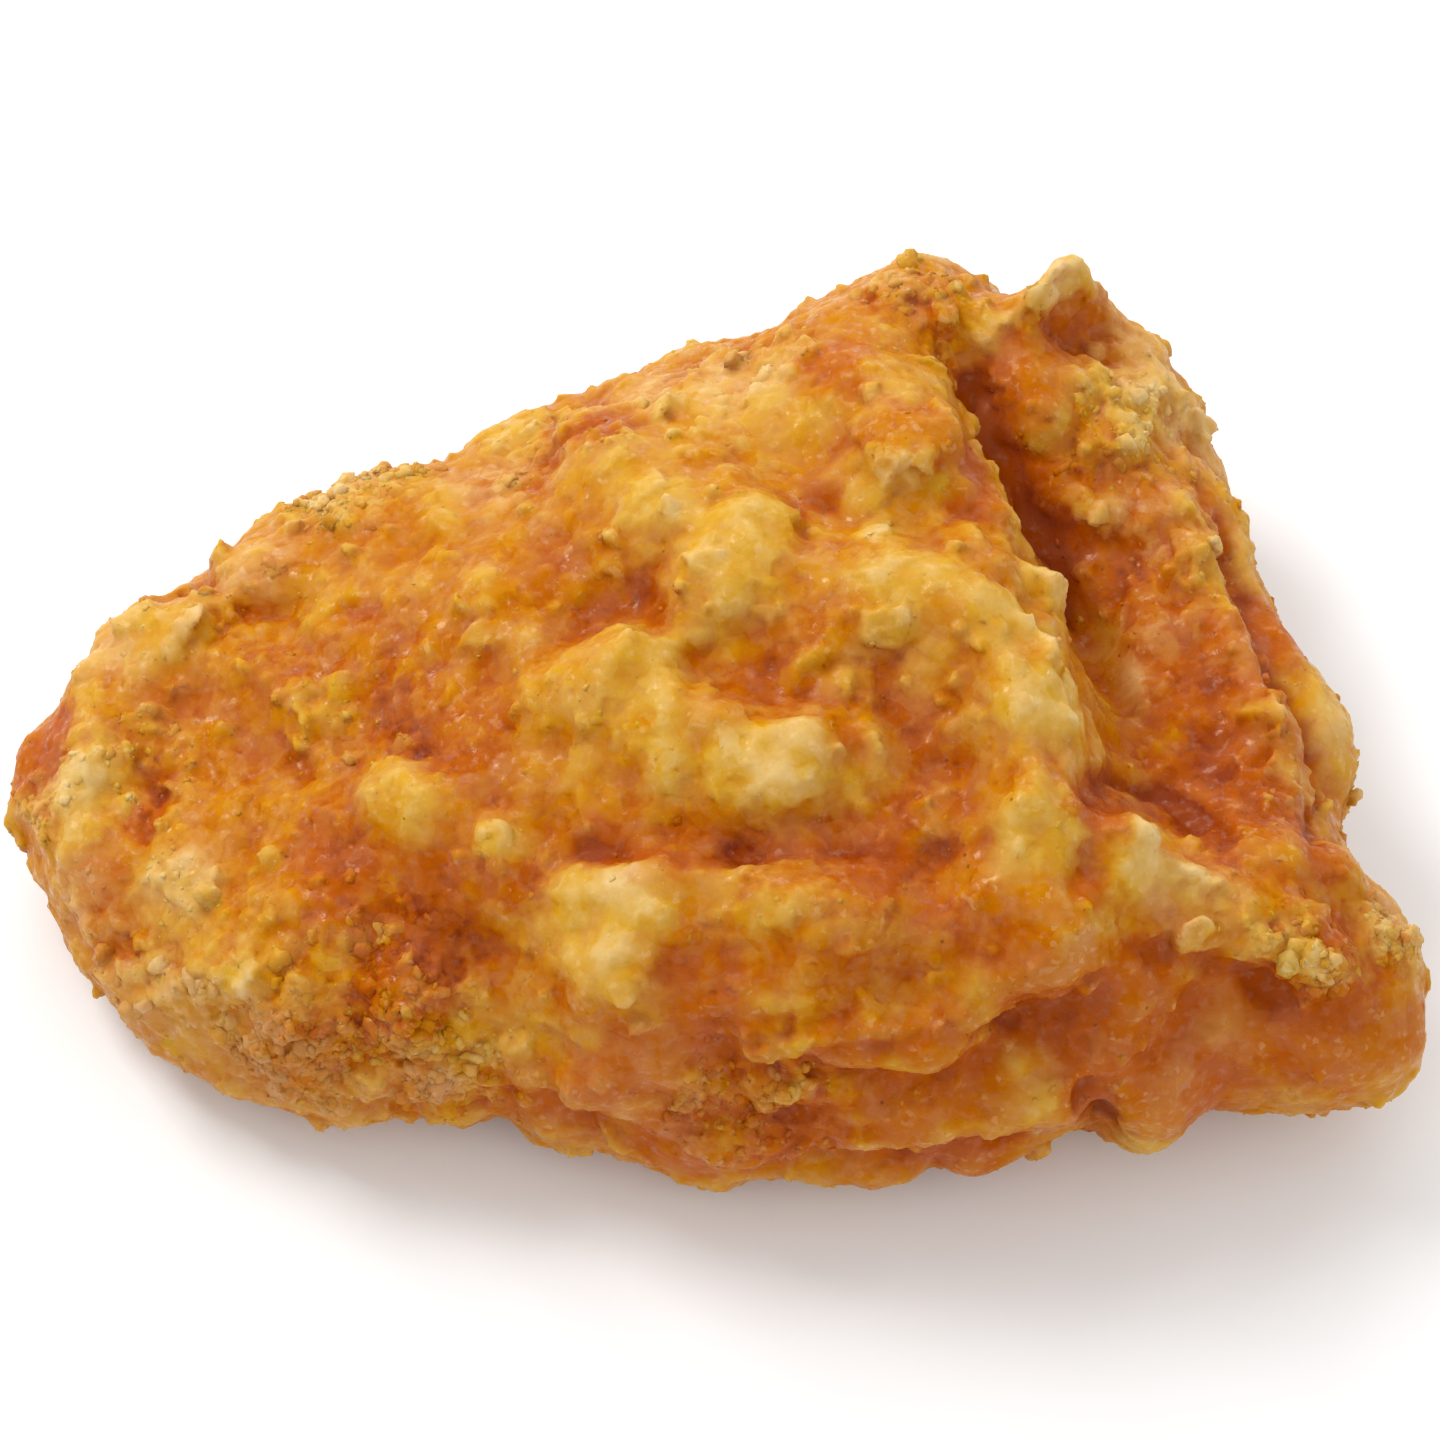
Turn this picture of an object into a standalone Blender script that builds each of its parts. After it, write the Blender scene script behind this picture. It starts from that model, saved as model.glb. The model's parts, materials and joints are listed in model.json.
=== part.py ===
"""A piece of fried chicken: one battered, deep fried cut in the shape of a blunt wedge.

The tip points to -X and the broad butt end to +X, where a cleft runs between two lobes of crust.
The craggy side is up, and the piece lies on the flattened middle of its underside at z = 0.
Sizes are in millimetres while the piece is shaped, and the finished mesh is in metres.
"""

from typing import NamedTuple

import bpy
import numpy as np
from mathutils import Vector, noise

METRES = 0.001
NAME = "chicken_piece"

# How full the rounded top and underside are: lower is flatter with tighter shoulders
TOP_FULLNESS = 0.62
UNDERSIDE_FULLNESS = 0.66
PRESSED_DEPTH = 1.4
PRESSED_CLEARANCE = 0.12

# The rim: bearing in degrees anticlockwise from +X, plan radius, height above the table
RIM = (
    (0, 58.4, 14),
    (13, 53.0, 15),
    (28, 55.5, 16),
    (38, 58.0, 17),
    (47, 58.0, 18),
    (52, 57.5, 18),
    (55.5, 50.5, 18),
    (60.5, 53.0, 17),
    (67, 51.8, 17),
    (73, 47.8, 17),
    (80, 43.5, 16),
    (90, 41.0, 16),
    (100, 37.5, 16),
    (110, 37.0, 15),
    (122, 38.5, 15),
    (131, 36.5, 15),
    (139, 39.3, 15),
    (148, 45.2, 14),
    (159, 52.2, 13),
    (170, 56.5, 12),
    (180, 64.0, 11),
    (190, 64.0, 10),
    (200, 60.5, 9),
    (210, 58.0, 8),
    (222, 49.5, 8),
    (237, 39.5, 8),
    (256, 39.0, 7),
    (268, 40.0, 7),
    (285, 41.5, 7),
    (297, 44.2, 8),
    (307, 46.3, 9),
    (315, 54.0, 10),
    (323, 56.0, 11),
    (331, 69.5, 13),
    (338, 68.0, 14),
    (348, 57.5, 14),
)

# The highest line of the smooth cut: place along the length, height
CROWN = (
    (-66, 21),
    (-52, 25),
    (-36, 29),
    (-20, 33),
    (0, 37),
    (14, 39),
    (26, 39),
    (36, 35),
    (48, 30),
    (66, 26),
)

# Lumps of crust: how far apart they are and how far they stand out
LUMPS = ((15.0, 1.0), (9.0, 1.0), (5.5, 0.6))
WANDER = 0.3
PATCH = 21.0

BALL_SUBDIVISIONS = 7
CLAY_GRAIN = 0.9
MOST_TRIANGLES = 11400

CRUST_COLOUR = (0.56, 0.235, 0.048, 1.0)
CRUST_ROUGHNESS = 0.5


class Form(NamedTuple):
    """A ridge or a hollow along a line, in millimetres.

    Each point of the line has its two places on the surface, the half width there and how far the
    form rises. Edge is the steepness of its sides, and lean widens the side to the line's left.
    """

    edge: float
    line: tuple
    lean: float = 1.0


# Forms of the craggy side, in plan: x, y, half width, rise
TOP_FORMS = {
    "tip_rim": Form(2, ((-57, -17, 4, 2), (-60, -6, 4, 3), (-54, 5, 4, 3), (-44, 13, 4, 2.5), (-34, 18, 4, 1.5))),
    "tip_basin": Form(2, ((-44, -4, 8, -2.5), (-30, -5, 9, -3.5))),
    "front_basin": Form(2, ((-27, -25, 5, -2.5), (-21, -27, 4.5, -3.5))),
    "left_lump": Form(2.5, ((-29, -14, 4, 2.5), (-26, -17, 3.5, 2))),
    "middle_ridge": Form(2.5, ((-16, -7, 4, 2), (-8, -6, 4.5, 3), (-3, -12, 4, 2.5), (5, -15, 4.5, 3.2))),
    "nose": Form(2.5, ((-9, 18, 6, 2.5), (-5, 12, 7, 3.2), (0, 6, 6.6, 3.5), (1.5, 3.5, 5, 3))),
    "nose_side_hollow": Form(2, ((-13, 9, 3.5, -1.5), (-10, 3, 4.5, -2.8))),
    "nose_foot_hollow": Form(2, ((0.5, -4.2, 3.2, -2.4), (4.5, -3.8, 3.8, -3), (7.5, -5, 3.4, -2.2))),
    "back_block": Form(3, ((14, 24, 5, 1.5), (16, 16, 5.5, 2.5), (16, 9, 5, 1.5))),
    "back_hollow": Form(2, ((8, 17, 3.5, -1.5), (9, 9, 3.5, -2.2))),
    "flap_crest": Form(
        2.5,
        ((9, -3, 3.5, 1.5), (14, 1, 4.5, 3), (20, 1, 5, 3.2), (25, -5, 4.5, 3.5), (27, -12, 4.5, 4), (27, -20, 4.5, 3.5)),
    ),
    "flap_hollow": Form(2, ((14, -8, 5, -2.6), (18, -14, 5, -3.2))),
    "crease": Form(2.2, ((-18, -19, 2.5, -1.2), (-8, -20.5, 3, -2.6), (6, -21, 3, -3), (18, -21, 3, -2.2))),
    "small_lump": Form(3, ((-19, -20, 2.5, 2.5), (-18, -23, 2.5, 1.5))),
    "front_crag": Form(2.5, ((-13, -28, 5, 2.5), (-8, -30, 6, 4), (-3, -31, 4.5, 2.5))),
    "front_ridge": Form(2.5, ((4, -28, 4, 2.5), (10, -30, 4, 2), (20, -30, 4, 2), (27, -30, 4, 2))),
    "cleft": Form(
        3,
        (
            (22.5, 33, 2.2, -4),
            (23.8, 29, 2.6, -7),
            (25.6, 22, 3.5, -8.5),
            (28, 15, 4.2, -8.5),
            (31, 8.5, 4.4, -7.5),
            (33.8, 3, 3.6, -4.5),
            (35.5, -2, 2.6, -2),
        ),
    ),
    "butt_slope": Form(
        2,
        (
            (26, 29, 2.4, -2.5),
            (28.8, 22, 2.8, -5),
            (31.5, 13, 3.0, -7),
            (33, 3, 3.2, -7.5),
            (34, -6, 3.2, -7.2),
            (35.3, -13, 3.0, -6),
            (36, -17, 2.6, -4),
        ),
        lean=3.4,
    ),
    "butt_crest": Form(2, ((31, 31, 4, 1.5), (40, 24, 4, 1.5), (45, 13, 4, 2), (48.5, 1, 4, 2.5), (51, -12, 4, 2.5))),
    "butt_crack": Form(2.5, ((43, 26, 1.5, -1.5), (47, 14, 1.7, -2.5), (51, 2, 1.8, -3), (54.5, -7, 1.8, -3), (54.5, -16, 1.6, -2))),
    "back_hump": Form(2, ((10, 33, 4, 1), (20, 37, 4.5, 2), (25.5, 38.5, 2.6, 2.6))),
    "horn": Form(2.5, ((23, 33.5, 1.9, 2.5), (28, 36.5, 2.0, 1.2), (33.5, 40.5, 2.4, 7))),
    "horn_hollow": Form(2, ((31, 32, 3, -2), (35, 35, 3.6, -3))),
    "butt_ridge": Form(2, ((31, -32, 4, 3), (33.5, -26, 4.4, 4), (37, -22.5, 4.8, 4.8), (42, -25, 5, 4.2), (51, -30, 4.6, 3.8))),
    "slope_foot": Form(2, ((43, -17, 5, 1.5), (50, -21, 5, 2.2))),
}

# Forms of the front wall: x, height, half width, rise
WALL_FORMS = {
    "ledge": Form(2.5, ((-9, 26.5, 2.6, 0.8), (4, 27.5, 2.4, 1.6), (12, 26, 2.6, 2), (22, 26.4, 2.6, 2), (30, 29.5, 2.6, 1.4))),
    "ledge_shadow": Form(
        2.5, ((-4, 24, 1.6, -1.4), (6, 24, 1.6, -1.8), (10, 22, 1.8, -2.3), (22, 22, 2.0, -2.5), (27, 24.5, 2.2, -2.8), (32, 26, 2.4, -3))
    ),
    "ledge_flake": Form(2.5, ((-6, 21.5, 1.6, 0.6), (0, 21.4, 1.7, 1), (7, 21.2, 1.6, 0.8))),
    "flake_shadow": Form(2.5, ((-5, 18.6, 1.6, -0.8), (1, 18.6, 1.8, -1.1), (7, 18.8, 1.6, -1))),
    "folded_skin": Form(2.5, ((-2, 14.6, 2.2, 0.8), (8, 14.8, 2.4, 1.2), (20, 16.5, 3.2, 1.5), (29, 18.5, 3.6, 2.2))),
    "lower_crack": Form(2.5, ((2, 10.6, 1.7, -1), (10, 10.8, 1.9, -1.8), (18, 10, 1.8, -1.2))),
    "butt_lobe": Form(2, ((40, 13, 6, 1.2), (52, 14, 6, 1.5))),
    "lobe_shadow": Form(3, ((38, 22, 2.2, -2), (48, 22, 2.2, -2.5), (54, 21, 2.2, -2))),
    "lobe_notch": Form(2.5, ((32, 3, 2.6, -2.5), (33, 10, 2.6, -2.5))),
}

# Where the crust is smoother than elsewhere, in plan: x, y, radius, share of its lumps that is missing
CALM = {
    "horn": Form(2, ((24, 34, 5, 0.7), (34, 39, 6, 0.8))),
    "butt_lobe": Form(2, ((38, -37, 7, 0.7), (58, -34, 8, 0.8))),
    "butt_rim": Form(2, ((50, 18, 4, 0.6), (60, -10, 4, 0.6))),
}


def smooth_step(low, high, value):
    share = np.clip((value - low) / (high - low), 0.0, 1.0)
    return share * share * (3.0 - 2.0 * share)


def through_stations(places, values, place, period=None):
    """A smooth curve through the stations, read at many places. It closes if it has a period."""
    places, values = np.array(places, float), np.array(values, float)
    if period:
        place = place % period
        places = np.concatenate([places[-2:] - period, places, places[:2] + period])
        values = np.concatenate([values[-2:], values, values[:2]])
    slopes = np.gradient(values, places)
    after = np.clip(np.searchsorted(places, place), 1, len(places) - 1)
    before = after - 1
    gap = places[after] - places[before]
    t = np.clip((place - places[before]) / gap, 0.0, 1.0)
    start = (1 + 2 * t) * (1 - t) ** 2 * values[before] + t * (1 - t) ** 2 * gap * slopes[before]
    end = t * t * (3 - 2 * t) * values[after] + t * t * (t - 1) * gap * slopes[after]
    return start + end


def form_height(form, across, along):
    """How far one form rises at each point, given the point's two places on the surface."""
    height = np.zeros(len(across))
    for (ax, ay, a_width, a_rise), (bx, by, b_width, b_rise) in zip(form.line, form.line[1:]):
        dx, dy = bx - ax, by - ay
        t = np.clip(((across - ax) * dx + (along - ay) * dy) / (dx * dx + dy * dy), 0.0, 1.0)
        distance = np.hypot(across - ax - t * dx, along - ay - t * dy)
        to_left = (dx * (along - ay) - dy * (across - ax)) / np.hypot(dx, dy)
        stretch = 1.0 + (form.lean - 1.0) * smooth_step(-0.5, 1.5, to_left)
        width = (a_width + t * (b_width - a_width)) * stretch
        rise = (a_rise + t * (b_rise - a_rise)) * np.exp(-((distance / width) ** form.edge))
        height = np.where(np.abs(rise) > np.abs(height), rise, height)
    return height


def read_points(mesh):
    points = np.empty(len(mesh.vertices) * 3)
    mesh.vertices.foreach_get("co", points)
    return points.reshape(-1, 3)


def read_normals(mesh):
    normals = np.empty(len(mesh.vertices) * 3)
    mesh.vertices.foreach_get("normal", normals)
    return normals.reshape(-1, 3)


def write_points(mesh, points):
    mesh.vertices.foreach_set("co", points.ravel())
    mesh.update()


def shape_body(mesh):
    """The ball becomes the smooth cut: its equator is the rim, and its two halves are top and underside."""
    ball = read_points(mesh)
    spread = np.hypot(ball[:, 0], ball[:, 1])
    bearing = np.degrees(np.arctan2(ball[:, 1], ball[:, 0]))
    bearings, radii, heights = zip(*RIM)
    radius = through_stations(bearings, radii, bearing, period=360.0)
    rim = through_stations(bearings, heights, bearing, period=360.0)
    rim = np.mean(heights) + (rim - np.mean(heights)) * spread**2
    x = radius * spread * np.cos(np.radians(bearing))
    y = radius * spread * np.sin(np.radians(bearing))
    crown = through_stations(*zip(*CROWN), x)
    up = np.clip(ball[:, 2], 0.0, 1.0) ** TOP_FULLNESS
    down = np.clip(-ball[:, 2], 0.0, 1.0) ** UNDERSIDE_FULLNESS
    z = rim + (crown - rim) * up - (rim + PRESSED_DEPTH) * down
    write_points(mesh, np.column_stack([x, y, z]))


def press_forms(mesh):
    """The named ridges and hollows: those of the top go up and down, those of the wall in and out."""
    points, normals = read_points(mesh), read_normals(mesh)
    faces_up = smooth_step(0.02, 0.45, normals[:, 2])
    faces_front = smooth_step(0.25, 0.7, -normals[:, 1])
    lift = sum(form_height(form, points[:, 0], points[:, 1]) for form in TOP_FORMS.values())
    push = sum(form_height(form, points[:, 0], points[:, 2]) for form in WALL_FORMS.values())
    points[:, 2] += lift * faces_up
    points += normals * (push * faces_front)[:, None]
    write_points(mesh, points)


def even_out(piece, grain):
    """New faces of one size all over, so that steep sides take lumps as well as flat places do."""
    remesh = piece.modifiers.new("even_out", "REMESH")
    remesh.mode = "VOXEL"
    remesh.voxel_size = grain
    bpy.ops.object.modifier_apply(modifier=remesh.name)


def wander(place):
    """A smooth drift of a place, so that lumps are not all of one shape."""
    drift = [noise.noise(place * 1.3 + Vector((0.0, 0.0, 9.7 * k))) for k in range(3)]
    return place + Vector(drift) * WANDER


def lump_height(point, apart):
    """Rounded lumps that meet in creases, from about -1 in a crease to 1 on a lump."""
    nearest = noise.voronoi(wander(Vector(point) / apart))[0][0]
    return max(1.0 - 3.2 * nearest * nearest, -1.0)


def raise_lumps(mesh, apart, stand_out):
    """Lumps stand along the surface's own normals, so that those of an edge lean out over what is below."""
    points, normals = read_points(mesh), read_normals(mesh)
    lumps = np.array([lump_height(point, apart) for point in points])
    patches = np.array([noise.noise(Vector(point) / PATCH) for point in points])
    rough = 0.9 + 0.35 * np.clip(patches * 2.0, -1.0, 1.0)
    for form in CALM.values():
        rough *= 1.0 - form_height(form, points[:, 0], points[:, 1])
    points += normals * (stand_out * lumps * rough)[:, None]
    write_points(mesh, points)


def press_flat(mesh):
    """What would hang below z = 0, or barely clears it, is pressed flat there."""
    points = read_points(mesh)
    points[points[:, 2] < PRESSED_CLEARANCE, 2] = 0.0
    write_points(mesh, points)


def thin_faces(piece, most):
    """The creases are eased, and the faces are thinned to the number a light model needs."""
    ease = piece.modifiers.new("ease", "SMOOTH")
    ease.factor = 0.5
    ease.iterations = 2
    bpy.ops.object.modifier_apply(modifier=ease.name)
    fewer = piece.modifiers.new("fewer", "DECIMATE")
    fewer.ratio = most / (2 * len(piece.data.polygons))
    bpy.ops.object.modifier_apply(modifier=fewer.name)


def centre_in_metres(mesh):
    """The plan's box is centred on the origin, and millimetres become metres."""
    points = read_points(mesh)
    middle = (points.min(axis=0) + points.max(axis=0)) / 2
    points[:, :2] -= middle[:2]
    write_points(mesh, points * METRES)


def crust_material():
    material = bpy.data.materials.new("golden_crust")
    material.use_nodes = True
    shader = material.node_tree.nodes["Principled BSDF"]
    shader.inputs["Base Color"].default_value = CRUST_COLOUR
    shader.inputs["Roughness"].default_value = CRUST_ROUGHNESS
    shader.inputs["Metallic"].default_value = 0.0
    material.diffuse_color = CRUST_COLOUR
    return material


def clear_scene():
    for thing in list(bpy.data.objects):
        bpy.data.objects.remove(thing, do_unlink=True)


def main():
    clear_scene()
    collection = bpy.data.collections.new("fried_chicken")
    bpy.context.scene.collection.children.link(collection)
    bpy.ops.mesh.primitive_ico_sphere_add(subdivisions=BALL_SUBDIVISIONS, radius=1.0)
    piece = bpy.context.object
    piece.name = NAME
    shape_body(piece.data)
    press_forms(piece.data)
    even_out(piece, CLAY_GRAIN)
    for apart, stand_out in LUMPS:
        raise_lumps(piece.data, apart, stand_out)
    press_flat(piece.data)
    thin_faces(piece, MOST_TRIANGLES)
    press_flat(piece.data)
    centre_in_metres(piece.data)
    mesh = piece.data
    mesh.name = NAME
    mesh.shade_smooth()
    mesh.materials.clear()
    mesh.materials.append(crust_material())
    for old in list(piece.users_collection):
        old.objects.unlink(piece)
    collection.objects.link(piece)


main()
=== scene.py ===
"""Looks of a piece of fried chicken: its craggy crust, its loose crumbs and grains, and the stage."""

import json
import math
import random
from typing import NamedTuple

import bmesh
import bpy
import numpy as np
from bpy.props import FloatProperty, FloatVectorProperty, IntProperty, PointerProperty
from bpy.types import Operator, Panel, PropertyGroup
from mathutils import Euler, Matrix, Vector, noise
from mathutils.bvhtree import BVHTree

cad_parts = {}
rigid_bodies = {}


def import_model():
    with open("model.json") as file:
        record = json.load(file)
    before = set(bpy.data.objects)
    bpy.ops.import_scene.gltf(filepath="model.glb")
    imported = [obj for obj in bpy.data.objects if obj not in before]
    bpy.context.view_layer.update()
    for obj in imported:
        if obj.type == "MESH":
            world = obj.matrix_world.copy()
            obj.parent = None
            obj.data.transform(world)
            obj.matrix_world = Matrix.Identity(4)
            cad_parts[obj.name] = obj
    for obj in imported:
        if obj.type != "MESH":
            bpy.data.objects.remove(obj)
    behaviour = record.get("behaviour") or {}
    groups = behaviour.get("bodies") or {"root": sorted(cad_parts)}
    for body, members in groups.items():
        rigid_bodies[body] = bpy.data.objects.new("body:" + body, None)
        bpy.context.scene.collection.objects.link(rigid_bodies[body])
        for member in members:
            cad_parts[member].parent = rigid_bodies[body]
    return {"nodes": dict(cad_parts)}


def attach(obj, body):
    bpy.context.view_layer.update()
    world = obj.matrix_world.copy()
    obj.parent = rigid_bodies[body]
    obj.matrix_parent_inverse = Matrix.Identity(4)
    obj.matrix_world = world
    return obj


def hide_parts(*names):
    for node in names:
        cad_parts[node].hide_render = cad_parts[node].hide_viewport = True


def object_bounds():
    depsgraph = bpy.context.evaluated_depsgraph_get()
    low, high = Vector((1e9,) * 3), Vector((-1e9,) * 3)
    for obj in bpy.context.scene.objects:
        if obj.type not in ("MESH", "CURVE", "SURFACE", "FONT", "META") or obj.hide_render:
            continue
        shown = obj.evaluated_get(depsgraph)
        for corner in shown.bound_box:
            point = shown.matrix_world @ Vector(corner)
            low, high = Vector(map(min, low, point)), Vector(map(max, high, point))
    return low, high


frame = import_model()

bl_info = {
    "name": "Fried chicken piece",
    "version": (1, 0, 0),
    "blender": (4, 5, 0),
    "location": "View3D > Sidebar > Fried chicken",
    "description": "Models the crust, crumbs and grains of a piece of fried chicken",
    "category": "Object",
}

CAD_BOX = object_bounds()
NODE = "chicken_piece"
MM = 0.001

# The attributes of each point that the batter's material reads
TONES = ("granular", "smooth_skin", "floury_and_rim_sheen", "golden_and_painted_light", "reddened_and_painted_shade", "crag", "swell")

# The photograph's own frame, in pixels, and the film's width in millimetres
PHOTO_SIDE = 1440
FILM_WIDTH = 36.0

# How far past the CAD solid's box the crust may stand, in millimetres
BOX_MARGIN = 0.6

# Passes that smooth the crust before the near and the far relief are read off it
NEAR_PASSES = 10
FAR_PASSES = 110

# Different shapes of each kind of crumb, and the corners of a flake
SHAPES = 5
FLAKE_SHAPES = 4
FLAKE_CORNERS = 9

# How much a smooth place thins out what is strewn there
SMOOTH_THINS = 0.85

# Speckle of the batter, and painted glints on its crests: random cells and noise, in patterns to the
# metre
BITS_SCALE = 480.0
CHIPS_SCALE = 1150.0
PAINTED_GLINT_SCALE = 2000.0
SPECKS_SCALE = 560.0


class Relief(NamedTuple):
    """One layer of the crust's relief, in millimetres"""

    apart: float
    rise: float


LUMPS = Relief(5.2, 0.18)
PLATES = Relief(3.6, 0.34)
SMALL_PLATES = Relief(1.7, 0.20)
PIMPLES = Relief(1.3, 0.16)
GRIT = Relief(0.9, 0.10)
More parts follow.
